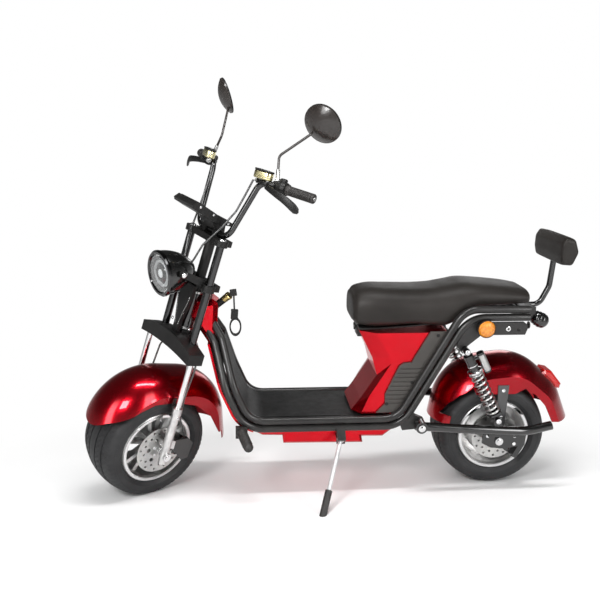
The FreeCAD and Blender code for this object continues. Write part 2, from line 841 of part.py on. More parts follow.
def make_front_fender():
    sheet = fender(front_fender_line, front_fender_radii, fender_half, 66, 60)
    lower = slab(
        [(500, 66), (300, 66), (272, 100), (178, 162), (124, 191), (40, 200), (-60, 185), (-141, 139), (-205, 66),
         (-400, 60), (-400, -200), (500, -200)],
        -200,
        200,
    )
    crown_only = slab([(215, 200), (-205, 200), (-205, 66), (-400, 60), (-400, -200), (215, -200)], -108, 108)
    trimmed = largest(sheet.cut(lower.cut(crown_only)))
    keep("front_fender", trimmed, steering_place)
    stay = slab([(fork_offset - 9, 150), (fork_offset + 9, 150), (fork_offset + 9, 218), (fork_offset - 9, 218)],
                122 + seat_gap, 127)
    foot = slab([(fork_offset - 9, 150), (fork_offset + 9, 150), (fork_offset + 9, 162), (fork_offset - 9, 162)],
                122 + seat_gap, leg_track)
    leg = rod(Vector(fork_offset, leg_track, 100), Vector(fork_offset, leg_track, 240), slider_radius + seat_gap)
    keep("fender_stays", both_sides(largest(merged([stay, foot]).cut(leg))), steering_place)


def make_caliper(track, angle, reach, carrier_track):
    # A block over the disc's edge, with the slot that the disc turns in.
    block = slab([(-30, reach - 34), (30, reach - 34), (34, reach + 4), (20, reach + 22), (-20, reach + 22),
                  (-34, reach + 4)], track - 15, track + 15)
    slot = slab([(-60, 0), (60, 0), (60, reach + 10), (-60, reach + 10)],
                track - disc_thickness / 2 - 3, track + disc_thickness / 2 + 3)
    pistons = []
    for x in (-14, 14):
        pistons.append(rod(Vector(x, track + 15, reach - 10), Vector(x, track + 19, reach - 10), 11))
    arm = slab([(-34, reach - 6), (34, reach - 6), (34, reach + 14), (-34, reach + 14)], track + 12, carrier_track)
    shape = merged([block.cut(slot), arm] + pistons)
    shape.Placement = turned(Y_AXIS, angle)
    return shape


def make_front_calipers():
    caliper = make_caliper(disc_centre, -78, disc_radius, leg_track - slider_radius - seat_gap)
    carrier = slab([(-112, -22), (-84, -30), (-34 - seat_gap, 18), (-34 - seat_gap, 56), (-92, 62), (-118, 40)],
                   leg_track - slider_radius - 4, leg_track - 2)
    keep("front_calipers", both_sides(merged([caliper, carrier])), front_wheel_place)


headlight_a = 178.0
headlight_c = head_tube_high + 44
headlight_radius = 81.0
headlight_depth = 132.0
# Outline of the arm that holds it: forward, and up from the lamp's centre
headlight_arm = [(-6, -10), (38, -10), (116, 14), (148, 20), (152, 38), (140, 46), (60, 26), (-6, 10)]


def make_headlight():
    place = steering_place.multiply(moved(headlight_a, 0, headlight_c)).multiply(turned(Y_AXIS, rake_angle))
    r = headlight_radius
    rim, tip = Vector(-10, r, 0), Vector(-headlight_depth, 26, 0)
    flank = Part.Arc(rim, Vector(-headlight_depth * 0.56, r - 13, 0), tip)
    inside = [(-headlight_depth, 0), (-14, 0), (-14, r - 12), (-10, r - 12)]
    corners = [tip] + [Vector(depth, radius, 0) for depth, radius in inside] + [rim]
    edges = [flank.toShape()] + [Part.LineSegment(u, v).toShape() for u, v in zip(corners, corners[1:])]
    bucket = Part.Face(Part.Wire(edges)).revolve(Vector(), X_AXIS, 360)
    ring = revolved([(-12, r - 12), (-12, r + 2), (-2, r + 2), (2, r - 2), (2, r - 9), (-4, r - 12)], X_AXIS)
    keep("headlight_bucket", merged([bucket, ring]), place)
    lens = revolved([(-13.7, 0), (-13.7, r - 12.3), (-4, r - 12.3), (0, r - 16), (5, r - 46), (6, 0)], X_AXIS)
    keep("headlight_lens", lens, place)
    arms = []
    for side in (-1, 1):
        low, high = sorted((side * (r + 2.3), side * (r + 8)))
        arm = slab([(a, headlight_c + up) for a, up in headlight_arm], low, high)
        bolt_c = headlight_c + 31
        bolt = rod(Vector(137, side * (r - 6), bolt_c), Vector(137, side * (r + 13), bolt_c), 8)
        arms.append(merged([arm, bolt]))
    bucket_world = bucket.copy()
    bucket_world.Placement = moved(headlight_a, 0, headlight_c).multiply(turned(Y_AXIS, rake_angle))
    yokes = nodes["fork_yokes"].transformed(steering_place.inverse().Matrix)
    taken = Part.Compound([bucket_world, both_sides(upper_tube(seat_gap)), yokes])
    keep("headlight_bracket", Part.Compound(arms).cut(taken), steering_place)


# Handlebar corners in the fork frame: forward, out and up
bar_half = [
    (6, 0, top_clamp_height),
    (6, 98, top_clamp_height),
    (-26, 148, top_clamp_height + 227),
    (-97, 356, top_clamp_height + 233),
]
bar_radii = [45, 42]


def bar_points(side):
    return [Vector(a, side * d, c) for a, d, c in bar_half]


def along_grip(distance, forward, up):
    # A point near the left grip: distance back from its outer end, then forward and up of the bar.
    outer = Vector(*bar_half[3])
    inner = Vector(*bar_half[2])
    way = unit(inner - outer)
    ahead = unit(Z_AXIS.cross(way)) * -1
    above = unit(ahead.cross(way))
    if above.z < 0:
        above = above * -1
    if ahead.x < 0:
        ahead = ahead * -1
    return outer + way * distance + ahead * forward + above * up


def make_handlebar():
    left = bar_points(1)
    right = bar_points(-1)
    route = list(reversed(right))[:-1] + left[1:]
    radii = [bar_radii[1], bar_radii[0], bar_radii[0], bar_radii[1]]
    keep("handlebar", tube(route, radii, bar_radius), steering_place)
    grip = rod(along_grip(-2, 0, 0), along_grip(grip_length, 0, 0), grip_radius)
    bore = rod(along_grip(0, 0, 0), along_grip(grip_length + 20, 0, 0), bar_radius + fit_gap)
    keep("grips", both_sides(grip.cut(bore)), steering_place)

    pod = rod(along_grip(grip_length + 3, 0, 0), along_grip(grip_length + 35, 0, 0), grip_radius + 7)
    thumb = rod(along_grip(grip_length + 19, 2, 12), along_grip(grip_length + 19, 10, 32), 9)
    pod = merged([pod, thumb])
    pod_bore = rod(along_grip(grip_length, 0, 0), along_grip(grip_length + 60, 0, 0), bar_radius + fit_gap)
    keep("switch_pods", both_sides(pod.cut(pod_bore)), steering_place)

    perch = rod(along_grip(grip_length + 38, 0, 0), along_grip(grip_length + 56, 0, 0), grip_radius)
    perch_bore = rod(along_grip(grip_length + 36, 0, 0), along_grip(grip_length + 60, 0, 0), bar_radius + fit_gap)
    reach = bar_radius + 13
    cylinder = rod(along_grip(grip_length + 38, reach, 2), along_grip(grip_length + 108, reach, 2), 9)
    knuckle = rod(along_grip(grip_length + 66, reach + 4, -8), along_grip(grip_length + 66, reach + 4, 8), 13)
    lever_path = [
        along_grip(grip_length + 66, reach + 4, -4),
        along_grip(grip_length - 12, reach + 36, -14),
        along_grip(28, reach + 20, -44),
    ]
    lever = tube(lever_path, [90], 6.5)
    controls = merged([perch, cylinder, knuckle, lever]).cut(perch_bore)
    cans = []
    for low, high, radius in ((11.3, 38, 19), (38 + seat_gap, 44, 20)):
        ends = [rod(along_grip(grip_length + at, reach, low), along_grip(grip_length + at, reach, high), radius)
                for at in (74, 108)]
        start = along_grip(grip_length + 74, reach - radius, low)
        end = along_grip(grip_length + 108, reach - radius, low)
        side = along_grip(grip_length + 74, reach + radius, low) - start
        up = along_grip(grip_length + 74, reach - radius, high) - start
        face = Part.Face(Part.makePolygon([start, end, end + side, start + side, start]))
        cans.append(merged(ends + [face.extrude(up)]))
    can, cap = cans
    keep("reservoirs", both_sides(largest(can.cut(controls))), steering_place)
    keep("brake_controls", both_sides(Part.Compound([controls, cap])), steering_place)


mirror_toe = 24.0
mirror_pitch = 33.0
mirror_radius = 69.0
mirror_dome = 27.0


def make_mirrors():
    base = along_grip(grip_length + 47, -4, grip_radius - 2)
    place = Placement(Vector(-92, 290, 1312), Rotation(Z_AXIS, mirror_toe).multiply(Rotation(Y_AXIS, mirror_pitch)))
    root = place.multVec(Vector(9, -34, -42))
    stem = tube([base, Vector(-46, 178, 1168), root], [22], 4.5)
    r = mirror_radius
    bulge = (r ** 2 + mirror_dome ** 2) / (2 * mirror_dome)
    dome = Part.makeSphere(bulge, Vector(mirror_dome - bulge, 0, 0), X_AXIS, -90, 90, 360)
    shell = dome.common(rod(Vector(0, 0, 0), Vector(mirror_dome + 1, 0, 0), r - 1))
    shell = merged([shell, rod(Vector(-5, 0, 0), Vector(2, 0, 0), r - 1)])
    shell.Placement = place
    taken = Part.Compound([nodes["brake_controls"], nodes["reservoirs"]])
    taken.Placement = steering_place.inverse()
    keep("mirrors", both_sides(largest(merged([shell, stem]).cut(taken))), steering_place)


def make_dash():
    z = top_clamp_height
    outline = [(163, z + 84), (146, z + 100), (38, z + 64), (-28, z + 48), (-28, z + 36), (34, z + 36), (116, z + 60),
               (158, z + 74)]
    board = slab(outline, -62, 62)
    post = slab([(-14, z + 11), (30, z + 11), (52, z + 44), (-12, z + 40)], -44, 44)
    taken = rod(Vector(6, -80, z), Vector(6, 80, z), bar_radius + fit_gap)
    clamps = nodes["top_clamp"].transformed(steering_place.inverse().Matrix)
    keep("dash_board", merged([board, post]).cut(Part.Compound([taken, clamps])), steering_place)


def make_column_cover():
    # A tapered shroud before the head tube, wide under the middle clamp and narrow at the arch
    outline = [(-46, mid_clamp_height - seat_gap), (46, mid_clamp_height - seat_gap), (44, mid_clamp_height - 50),
               (17, arch_high + 40), (17, arch_high + seat_gap), (-17, arch_high + seat_gap), (-17, arch_high + 40),
               (-44, mid_clamp_height - 50)]
    front = head_tube_radius + 8
    wire = Part.makePolygon([Vector(front, d, c) for d, c in outline + outline[:1]])
    cover = Part.Face(wire).extrude(Vector(14, 0, 0))
    keep("column_cover", cover, steering_place)


# Hose routes in the fork frame: forward, out and up, from a lever to the lamp, or from the arch to a caliper
control_hose = [
    (-6, 130, 1064),
    (-2, 118, 1010),
    (10, 108, 940),
    (34, 84, 868),
    (66, 50, 790),
    (72, 30, 726),
    (80, 16, 690),
]
control_radii = [60, 60, 60, 50, 40]
brake_hose = [
    (-8, 70, 428),
    (-16, 96, 400),
    (2, 128, 330),
    (12, 128, 220),
    (6, 128, 140),
    (-40, 127, 62),
    (-66, 127, 40),
]
brake_radii = [24, 40, 60, 60, 40]
hose_radius = 3.6


def make_hoses():
    held_by = ("headlight_bucket", "fork_yokes", "front_calipers", "brake_controls", "handlebar")
    taken = Part.Compound([nodes[name] for name in held_by])
    taken = taken.transformed(steering_place.inverse().Matrix)
    hoses = []
    for points, radii in ((control_hose, control_radii), (brake_hose, brake_radii)):
        hoses.append(tube([Vector(*point) for point in points], radii, hose_radius))
    keep("hoses", both_sides(Part.Compound([largest(hose.cut(taken)) for hose in hoses])), steering_place)


# Rear suspension

swing_line = [(336, 300), (163, 284), (-91, 268), (-190, 290)]
swing_radii = [300, 200]


def make_swingarm():
    points = [Vector(x, swing_track, z) for x, z in swing_line]
    arm = tube(points, swing_radii, swing_radius)
    plate = slab([(-104, 196), (-20, 184), (30, 190), (64, 208), (64, 254), (40, 264), (-92, 256), (-108, 240)],
                 swing_track - 36, swing_track - 28)
    web = slab([(-80, 244), (50, 246), (50, 262), (-80, 256)], swing_track - 36, swing_track)
    eye = rod(Vector(316, swing_track - 22, 298), Vector(316, swing_track + 19, 298), 22)
    hole = rod(Vector(0, 100, tyre_radius), Vector(0, 240, tyre_radius), axle_radius + fit_gap)
    pin_hole = rod(Vector(316, 100, 298), Vector(316, 240, 298), 9 + fit_gap)
    x, z = shock_foot
    ear = slab([(x - 15, z - 34), (x + 15, z - 34), (x + 12, z + 2), (x, z + 9), (x - 12, z + 2)],
               shock_track + 14, shock_track + 22)
    bolt = rod(Vector(x, shock_track - 24, z), Vector(x, shock_track + 20, z), 6)
    side = merged([arm, plate, web, eye, ear, bolt]).cut(Part.Compound([hole, pin_hole]))
    keep("swingarm", both_sides(side), stance)
    pivot = rod(Vector(316, tube_track + tube_radius - 24, 298), Vector(316, swing_track + 23, 298), 9)
    gusset = slab([(296, 280), (380, 272), (400, 330), (372, 362), (330, 330), (300, 316)],
                  tube_track - 12, tube_track + 12)
    tubes = Part.Compound([tube(frame_route(0), frame_radii, tube_radius),
                           tube(frame_route(tube_pitch), [radius - 20 for radius in frame_radii], tube_radius)])
    bracket = merged([gusset, pivot]).cut(tubes)
    keep("rear_axle", make_axle(swing_track - 32, 4, disc_centre), rear_wheel_place)
    return both_sides(largest(bracket))



def make_shocks():
    top = Vector(shock_top[0], shock_track, shock_top[1])
    foot = Vector(shock_foot[0], shock_track, shock_foot[1])
    length = (top - foot).Length
    way = unit(foot - top)
    pieces = []
    for centre in (top, foot):
        pieces.append(rod(centre - Y_AXIS * 13, centre + Y_AXIS * 13, 13))
    pieces.append(rod(top, top + way * 24, 9))
    pieces.append(rod(top + way * 22, top + way * 92, shock_body_radius))
    pieces.append(rod(top + way * 80, foot - way * 6, 7))
    pieces.append(rod(top + way * 88, top + way * 95, spring_radius))
    pieces.append(rod(foot - way * 34, foot - way * 26, spring_radius))
    ahead = unit(way.cross(Y_AXIS))
    if ahead.x > 0:
        ahead = ahead * -1
    can_top = top + way * 30 + ahead * 44
    pieces.append(rod(can_top, can_top + way * 84, 14))
    pieces.append(rod(top + way * 44, top + way * 44 + ahead * 44, 9))
    body = merged(pieces)
    holes = [rod(centre - Y_AXIS * 30, centre + Y_AXIS * 30, 6 + fit_gap) for centre in (top, foot)]
    keep("shock_absorbers", both_sides(body.cut(Part.Compound(holes))), stance)

    coil_top = 95.0 + seat_gap
    coil_low = length - 34 - seat_gap
    pitch = (coil_low - coil_top) / spring_turns
    profile = [(coil_top, 19.0)]
    for turn in range(spring_turns):
        start = coil_top + turn * pitch
        profile.extend([(start, spring_radius - 1), (start + pitch * 0.5, spring_radius - 1),
                        (start + pitch * 0.5, spring_radius - 6), (start + pitch, spring_radius - 6)])
    profile.append((coil_low, 19.0))
    coil = revolved(profile, X_AXIS)
    turn = Rotation(X_AXIS, way)
    coil.Placement = Placement(top, turn)
    keep("shock_springs", both_sides(coil), stance)


def make_rear_brake():
    caliper = make_caliper(disc_centre, -118, disc_radius, swing_track - 36 - seat_gap)
    keep("rear_caliper", caliper, rear_wheel_place)


def make_lamps():
    lamp = revolved([(0, 0), (0, 8), (10, 8), (10, 30), (24, 32), (33, 26), (39, 14), (41, 0)], Y_AXIS)
    lamp.Placement = moved(90, tube_track + tail_plate_half + seat_gap, 672)
    keep("turn_lamps", both_sides(lamp), stance)
    block = bevelled([(-212, 458), (-240, 452), (-284, 398), (-280, 380), (-240, 380), (-200, 430)], 40, 8)
    lamp = largest(block.cut(nodes["rear_fender"].transformed(stance.inverse().Matrix)))
    lamp.translate(Vector(-seat_gap, 0, seat_gap))
    keep("tail_light", lamp, stance)
    pods = []
    ribbed = [(0, 0), (0, 14), (8, 20), (16, 18), (22, 22), (30, 20), (36, 23), (46, 21), (60, 12), (64, 0)]
    for side in (-1, 1):
        pod = revolved(ribbed, X_AXIS)
        pod.Placement = Placement(Vector(-126, side * 75, 692), Rotation(X_AXIS, Vector(-88, 0, -48)))
        pods.append(pod)
    pods = Part.Compound(pods)
    keep("tail_pods", pods, stance)
    block = slab([(-50, 709), (-50, 694), (-106, 686), (-132, 684), (-130, 728), (-98, 732), (-72, 728)], -84, 84)
    bar = across(tail_bar_x, tail_bar_z, cross_tube_radius, tube_track)
    post = tube(post_line, post_radii, post_radius + seat_gap)
    keep("tail_bracket", largest(block.cut(Part.Compound([pods, bar, post]))), stance)


post_radius = 11.0
post_line = [Vector(tail_bar_x, 0, tail_bar_z), Vector(-176, 0, 718), Vector(-210, 0, 790), Vector(-220, 0, 930)]
post_radii = [40, 60]


def make_backrest():
    bar = across(tail_bar_x, tail_bar_z, cross_tube_radius + seat_gap, tube_track)
    keep("backrest_post", tube(post_line, post_radii, post_radius).cut(bar), stance)
    outline = [(-232, 893), (-196, 896), (-188, 930), (-188, 976), (-200, 1000), (-236, 994), (-256, 944)]
    pad = bevelled(outline, 130, 20)
    keep("backrest_pad", pad.cut(tube(post_line, post_radii, post_radius + seat_gap)), stance)


def make_pegs():
    inner, outer = Vector(984, tube_track + 22, 284), Vector(960, tube_track + 84, 252)
    peg = merged([rod(inner, outer, 18), Part.makeSphere(18, outer)])
    plate = slab([(1006, 258), (1006, 300), (962, 300), (962, 258)], tube_track, tube_track + tube_radius + 8)
    keep("foot_pegs", both_sides(largest(merged([peg, plate]).cut(tube(frame_route(0), frame_radii, tube_radius)))),
         stance)


# Side stand

stand_x = 614.0
stand_y = 174.0
stand_z = 250.0
stand_tilt = 45.0
stand_pin_radius = 7.0
stand_foot = Vector(699, 372, 0)


def make_stand(pivots):
    pin_way = Vector(0, math.cos(math.radians(stand_tilt)), math.sin(math.radians(stand_tilt)))
    pivot = Vector(stand_x, stand_y, stand_z)
    # Local axes of the clevis: forward, along the pin, and up towards the frame tube
    block = Part.makeBox(32, 40, 20, Vector(-16, -20, 26))
    lugs = [Part.makeBox(32, 9, 44, Vector(-16, start, -14)) for start in (-20, 11)]
    pin = rod(Vector(0, -24, 0), Vector(0, 24, 0), stand_pin_radius)
    clevis = merged([block, pin] + lugs)
    clevis.Placement = Placement(pivot, Rotation(X_AXIS, stand_tilt))
    belly = nodes["belly_pan"].transformed(stance.inverse().Matrix)
    around = Part.Compound([tube(frame_route(0), frame_radii, tube_radius), belly])
    keep("frame_brackets", Part.Compound([pivots, largest(clevis.cut(around))]), stance)

    world_pivot = stance.multVec(pivot)
    world_pin = stance.Rotation.multVec(pin_way)
    eye = rod(world_pivot - world_pin * 9, world_pivot + world_pin * 9, 15)
    hole = rod(world_pivot - world_pin * 40, world_pivot + world_pin * 40, stand_pin_radius + pin_gap)
    target = stand_foot
    way = unit(target - world_pivot)
    knee = world_pivot + way * 12
    sleeve_start = target - way * 90
    leg = rod(knee, target - way * 20, 8)
    keep("stand_leg", merged([eye, leg]).cut(hole), Placement())
    sleeve = rod(sleeve_start, target + way * 20, 13)
    bore = rod(sleeve_start - way * 5, target - way * 20 + way * seat_gap, 8 + fit_gap)
    floor = Part.makeBox(400, 400, 100, Vector(target.x - 200, target.y - 200, -100))
    keep("stand_foot", sleeve.cut(Part.Compound([bore, floor])), Placement())


make_wheels()
frame_tubes = make_frame()
neck = make_neck(frame_tubes)
make_floor(frame_tubes, neck)
make_belly()
make_body()
make_side_panels()
make_seat()
make_seat_pan()
make_tail(frame_tubes)
make_rear_fender()
make_yokes()
make_fork()
make_front_fender()
make_front_calipers()
make_headlight()
make_handlebar()
make_mirrors()
make_dash()
make_column_cover()
make_hoses()
swing_pivots = make_swingarm()
make_shocks()
make_rear_brake()
make_lamps()
make_backrest()
make_pegs()
make_stand(swing_pivots)

# The origin is the middle of the base of the whole scooter's box
whole = Part.Compound(list(nodes.values())).optimalBoundingBox(True, False)
origin_shift = Vector(-(whole.XMin + whole.XMax) / 2, -(whole.YMin + whole.YMax) / 2, -whole.ZMin)
print("shift", origin_shift, "size", whole.XLength, whole.YLength, whole.ZLength)

for name, shape in nodes.items():
    final = shape.copy()
    final.Placement = Placement(origin_shift, Rotation()).multiply(shape.Placement)
    final.exportStep("parts/" + name + ".step")
    print(name, len(shape.Solids), shape.isValid(), round(shape.Volume))
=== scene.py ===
import json
import math

import bmesh
import bpy
from mathutils import Matrix, Vector


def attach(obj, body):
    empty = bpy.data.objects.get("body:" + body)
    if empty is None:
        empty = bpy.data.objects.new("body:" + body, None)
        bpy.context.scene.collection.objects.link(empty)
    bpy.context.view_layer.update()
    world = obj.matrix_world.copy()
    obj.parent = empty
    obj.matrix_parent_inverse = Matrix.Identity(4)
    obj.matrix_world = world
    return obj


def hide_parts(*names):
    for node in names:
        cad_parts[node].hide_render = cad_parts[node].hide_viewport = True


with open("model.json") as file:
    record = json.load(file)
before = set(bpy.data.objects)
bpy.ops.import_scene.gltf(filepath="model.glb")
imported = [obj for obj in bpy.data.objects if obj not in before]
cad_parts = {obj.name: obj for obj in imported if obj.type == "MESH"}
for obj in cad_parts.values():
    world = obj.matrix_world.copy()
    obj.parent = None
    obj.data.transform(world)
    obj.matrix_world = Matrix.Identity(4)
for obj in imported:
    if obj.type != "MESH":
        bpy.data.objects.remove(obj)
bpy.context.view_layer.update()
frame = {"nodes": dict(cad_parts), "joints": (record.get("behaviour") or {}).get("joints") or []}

MM = 0.001
Y_AXIS = Vector((0, 1, 0))
Z_AXIS = Vector((0, 0, 1))

# Driving sizes in millimetres, the same as the frame's own
tyre_radius = 217.0
crown_radius = 280.0
crown_half = 94.0
rim_flange_radius = 142.6
hinge_x = 540.0
hinge_z = 639.0
fork_offset = 45.3
tube_track = 150.0
shock_track = 165.0
shock_top = (158.0, 586.0)
shock_foot = (17.0, 310.0)
spring_radius = 28.0
swing_track = 186.0
disc_face = 114.0
leg_track = 150.0
upper_track = 98.6
body_half = 132.0
head_tube_high = 606.0
head_tube_low = 452.0
top_clamp_height = 838.0
lamp_centre = (178.0, 0.0, 650.0)
lamp_radius = 81.0
rake_angle = 16.7
bar_corner = (-26.0, 148.0, 1065.0)
bar_end = (-97.0, 356.0, 1071.0)
grip_length = 110.0
mirror_centre = (-92.0, 290.0, 1312.0)
mirror_toe = 24.0
mirror_pitch = 33.0
mirror_radius = 69.0


# Local frames: the upright scooter, the steering group and the two wheels

def joint(name):
    return next(entry for entry in frame["joints"] if entry["name"] == name)


def local_frame(origin, along, left, up, home):
    turn = Matrix((along, left, up)).transposed().to_4x4()
    return Matrix.Translation(origin) @ turn @ Matrix.Scale(MM, 4) @ Matrix.Translation(-Vector(home))


def make_frames():
    rear = Vector(joint("rear_wheel_spin")["pos_m"])
    left = Vector(joint("rear_wheel_spin")["axis"]).normalized()
    hinge = Vector(joint("seat_open")["pos_m"])
    run = hinge - rear
    run = (run - left * run.dot(left)).normalized()
    side = left.cross(run)
    tilt = math.atan2(hinge_z - tyre_radius, hinge_x)
    along = run * math.cos(tilt) + side * math.sin(tilt)
    up = along.cross(left)
    bike = local_frame(rear, along, left, up, (0, 0, tyre_radius))
    rear_wheel = local_frame(rear, along, left, up, (0, 0, 0))

    up = Vector(joint("steering_turn")["axis"]).normalized()
    left = Vector(joint("front_wheel_spin")["axis"]).normalized()
    along = left.cross(up).normalized()
    axle = Vector(joint("front_wheel_spin")["pos_m"])
    fork = local_frame(axle, along, left, up, (fork_offset, 0, 0))
    front_wheel = local_frame(axle, along, left, up, (0, 0, 0))
    return bike, fork, rear_wheel, front_wheel


BIKE, FORK, REAR_WHEEL, FRONT_WHEEL = make_frames()


# Materials

coat_roughness = 0.04
tint_stops = (0.3, 0.7)
smear_ratio = 3.1


def shader(name):
    material = bpy.data.materials.new(name)
    material.use_nodes = True
    return material, material.node_tree, material.node_tree.nodes["Principled BSDF"]


def texture(tree, kind, scale, detail=4.0):
    place = tree.nodes.new("ShaderNodeTexCoord")
    node = tree.nodes.new(kind)
    node.inputs["Scale"].default_value = scale
    if "Detail" in node.inputs:
        node.inputs["Detail"].default_value = detail
    tree.links.new(place.outputs["Object"], node.inputs["Vector"])
    return node


def spread(tree, source, low, high):
    node = tree.nodes.new("ShaderNodeMapRange")
    node.inputs["To Min"].default_value = low
    node.inputs["To Max"].default_value = high
    tree.links.new(source, node.inputs["Value"])
    return node.outputs["Result"]


def tinted(tree, source, dark, light):
    ramp = tree.nodes.new("ShaderNodeValToRGB")
    for element, stop, colour in zip(ramp.color_ramp.elements, tint_stops, (dark, light)):
        element.position = stop
        element.color = (*colour, 1)
    tree.links.new(source, ramp.inputs["Fac"])
    return ramp.outputs["Color"]


def bumped(tree, base, source, strength, distance):
    bump = tree.nodes.new("ShaderNodeBump")
    bump.inputs["Strength"].default_value = strength
    bump.inputs["Distance"].default_value = distance
    tree.links.new(source, bump.inputs["Height"])
    tree.links.new(bump.outputs["Normal"], base.inputs["Normal"])


def finish(name, dark, light, rough, metallic=0.0, coat=0.0, grain="noise", grain_scale=900.0, bump=0.1,
           depth=0.0002, patch_scale=14.0, shine=0.5):
    """A finish whose colour, roughness and fine relief vary over the surface."""
    material, tree, base = shader(name)
    patches = texture(tree, "ShaderNodeTexNoise", patch_scale)
    base.inputs["Metallic"].default_value = metallic
    base.inputs["Specular IOR Level"].default_value = shine
    base.inputs["Coat Weight"].default_value = coat
    base.inputs["Coat Roughness"].default_value = coat_roughness
    tree.links.new(tinted(tree, patches.outputs["Fac"], dark, light), base.inputs["Base Color"])
    smears = texture(tree, "ShaderNodeTexNoise", patch_scale * smear_ratio)
    tree.links.new(spread(tree, smears.outputs["Fac"], *rough), base.inputs["Roughness"])
    kind, output = {"voronoi": ("ShaderNodeTexVoronoi", "Distance"), "noise": ("ShaderNodeTexNoise", "Fac")}[grain]
    fine = texture(tree, kind, grain_scale)
    bumped(tree, base, fine.outputs[output], bump, depth)
    return material


def glass(name, colour):
    """Clear moulded glass with a faint ripple."""
    material, tree, base = shader(name)
    base.inputs["Base Color"].default_value = (*colour, 1)
    base.inputs["Transmission Weight"].default_value = 1.0
    base.inputs["IOR"].default_value = 1.45
    ripple = texture(tree, "ShaderNodeTexNoise", 60.0)
    tree.links.new(spread(tree, ripple.outputs["Fac"], 0.02, 0.04), base.inputs["Roughness"])
    bumped(tree, base, ripple.outputs["Fac"], 0.03, 0.0003)
    return material


PAINT = finish("candy_red", (0.54, 0.0004, 0.008), (0.62, 0.0006, 0.010), (0.24, 0.28), metallic=0.94, coat=0.3,
               grain="voronoi", grain_scale=2600.0, bump=0.02, depth=0.00005)
# Shaded copy of the same candy red: its darker base colour is painted shade for the fenders' dark tops, while the
# body parts keep the lit copy above
SHADED_PAINT = finish("candy_red_shaded", (0.31, 0.0003, 0.006), (0.38, 0.0005, 0.008), (0.22, 0.27),
                    metallic=0.92, coat=0.5, grain="voronoi", grain_scale=2600.0, bump=0.02, depth=0.00005)
FRAME_BLACK = finish("frame_black", (0.012, 0.011, 0.011), (0.022, 0.021, 0.020), (0.30, 0.44), coat=0.2,
                     grain_scale=1400.0, bump=0.12, depth=0.0001, shine=0.35)
GLOSS_BLACK = finish("gloss_black", (0.003, 0.003, 0.003), (0.006, 0.006, 0.006), (0.14, 0.24), coat=0.8,
                     grain_scale=700.0, bump=0.05, depth=0.0001)
RUBBER = finish("tyre_rubber", (0.012, 0.012, 0.013), (0.024, 0.024, 0.025), (0.50, 0.70), grain_scale=1600.0,
                bump=0.25, depth=0.0002, shine=0.4)
MAT = finish("mat_rubber", (0.008, 0.008, 0.008), (0.020, 0.020, 0.020), (0.40, 0.66), grain="voronoi",
             grain_scale=420.0, bump=0.55, depth=0.0006, shine=0.25)
GRIP_RUBBER = finish("grip_rubber", (0.016, 0.014, 0.013), (0.030, 0.027, 0.025), (0.50, 0.64), grain_scale=1300.0,
                     bump=0.25, depth=0.0002)
LEATHER = finish("leatherette", (0.017, 0.0145, 0.013), (0.029, 0.0255, 0.023), (0.40, 0.54), grain="voronoi",
                 grain_scale=620.0, bump=0.35, depth=0.0004, patch_scale=7.0, shine=0.22)
PANEL = finish("panel_plastic", (0.040, 0.036, 0.032), (0.058, 0.053, 0.048), (0.44, 0.58), grain="voronoi",
               grain_scale=1500.0, bump=0.28, depth=0.0002)
PLASTIC = finish("black_plastic", (0.007, 0.007, 0.007), (0.014, 0.0135, 0.013), (0.34, 0.50), grain_scale=1500.0,
                 bump=0.2, depth=0.0002, shine=0.3)
CHROME = finish("chrome", (0.62, 0.62, 0.63), (0.80, 0.80, 0.80), (0.06, 0.16), metallic=1.0, grain_scale=300.0,
                bump=0.04, depth=0.0001)
ALLOY = finish("cast_alloy", (0.50, 0.50, 0.50), (0.74, 0.73, 0.72), (0.22, 0.42), metallic=1.0, grain_scale=260.0,
               bump=0.30, depth=0.0006, patch_scale=30.0)
STEEL = finish("zinc_steel", (0.42, 0.42, 0.42), (0.60, 0.60, 0.58), (0.24, 0.40), metallic=1.0, grain_scale=800.0,
               bump=0.15, depth=0.0002)
GOLD = finish("gold_anodised", (0.74, 0.66, 0.36), (0.86, 0.80, 0.50), (0.20, 0.32), metallic=1.0,
              grain_scale=900.0, bump=0.1, depth=0.0001)
AMBER = finish("amber_lens", (0.62, 0.17, 0.004), (0.92, 0.34, 0.02), (0.10, 0.20), coat=0.7, grain="voronoi",
               grain_scale=230.0, bump=0.9, depth=0.0016, patch_scale=120.0)
RED_LENS = finish("red_lens", (0.50, 0.004, 0.004), (0.66, 0.012, 0.010), (0.12, 0.22), coat=0.6, grain="voronoi",
                  grain_scale=240.0, bump=0.35, depth=0.0006)
MIRROR = finish("mirror_silver", (0.80, 0.81, 0.82), (0.86, 0.87, 0.88), (0.02, 0.04), metallic=1.0,
                grain_scale=60.0, bump=0.01, depth=0.0001)
BRASS = finish("brass", (0.42, 0.31, 0.11), (0.60, 0.47, 0.20), (0.24, 0.38), metallic=1.0, grain_scale=700.0,
               bump=0.1, depth=0.0001)
LAMP_WHITE = finish("lamp_white", (0.42, 0.43, 0.44), (0.58, 0.59, 0.60), (0.20, 0.34), coat=0.5, grain="voronoi",
                    grain_scale=500.0, bump=0.2, depth=0.0003)
DARK_GLASS = finish("dark_glass", (0.005, 0.006, 0.008), (0.012, 0.013, 0.016), (0.03, 0.07), coat=1.0,
                    grain_scale=120.0, bump=0.02, depth=0.0001)
BLACK_CHROME = finish("black_chrome", (0.020, 0.020, 0.021), (0.036, 0.036, 0.037), (0.06, 0.12), metallic=1.0,
                      coat=1.0, grain_scale=300.0, bump=0.03, depth=0.0001)
SHELL = finish("mirror_shell", (0.020, 0.016, 0.014), (0.034, 0.028, 0.025), (0.20, 0.30), coat=0.25,
               grain_scale=900.0, bump=0.05, depth=0.0001)
ZINC = finish("bright_zinc", (0.62, 0.63, 0.64), (0.78, 0.79, 0.80), (0.30, 0.44), metallic=0.5, grain_scale=800.0,
              bump=0.12, depth=0.0001)
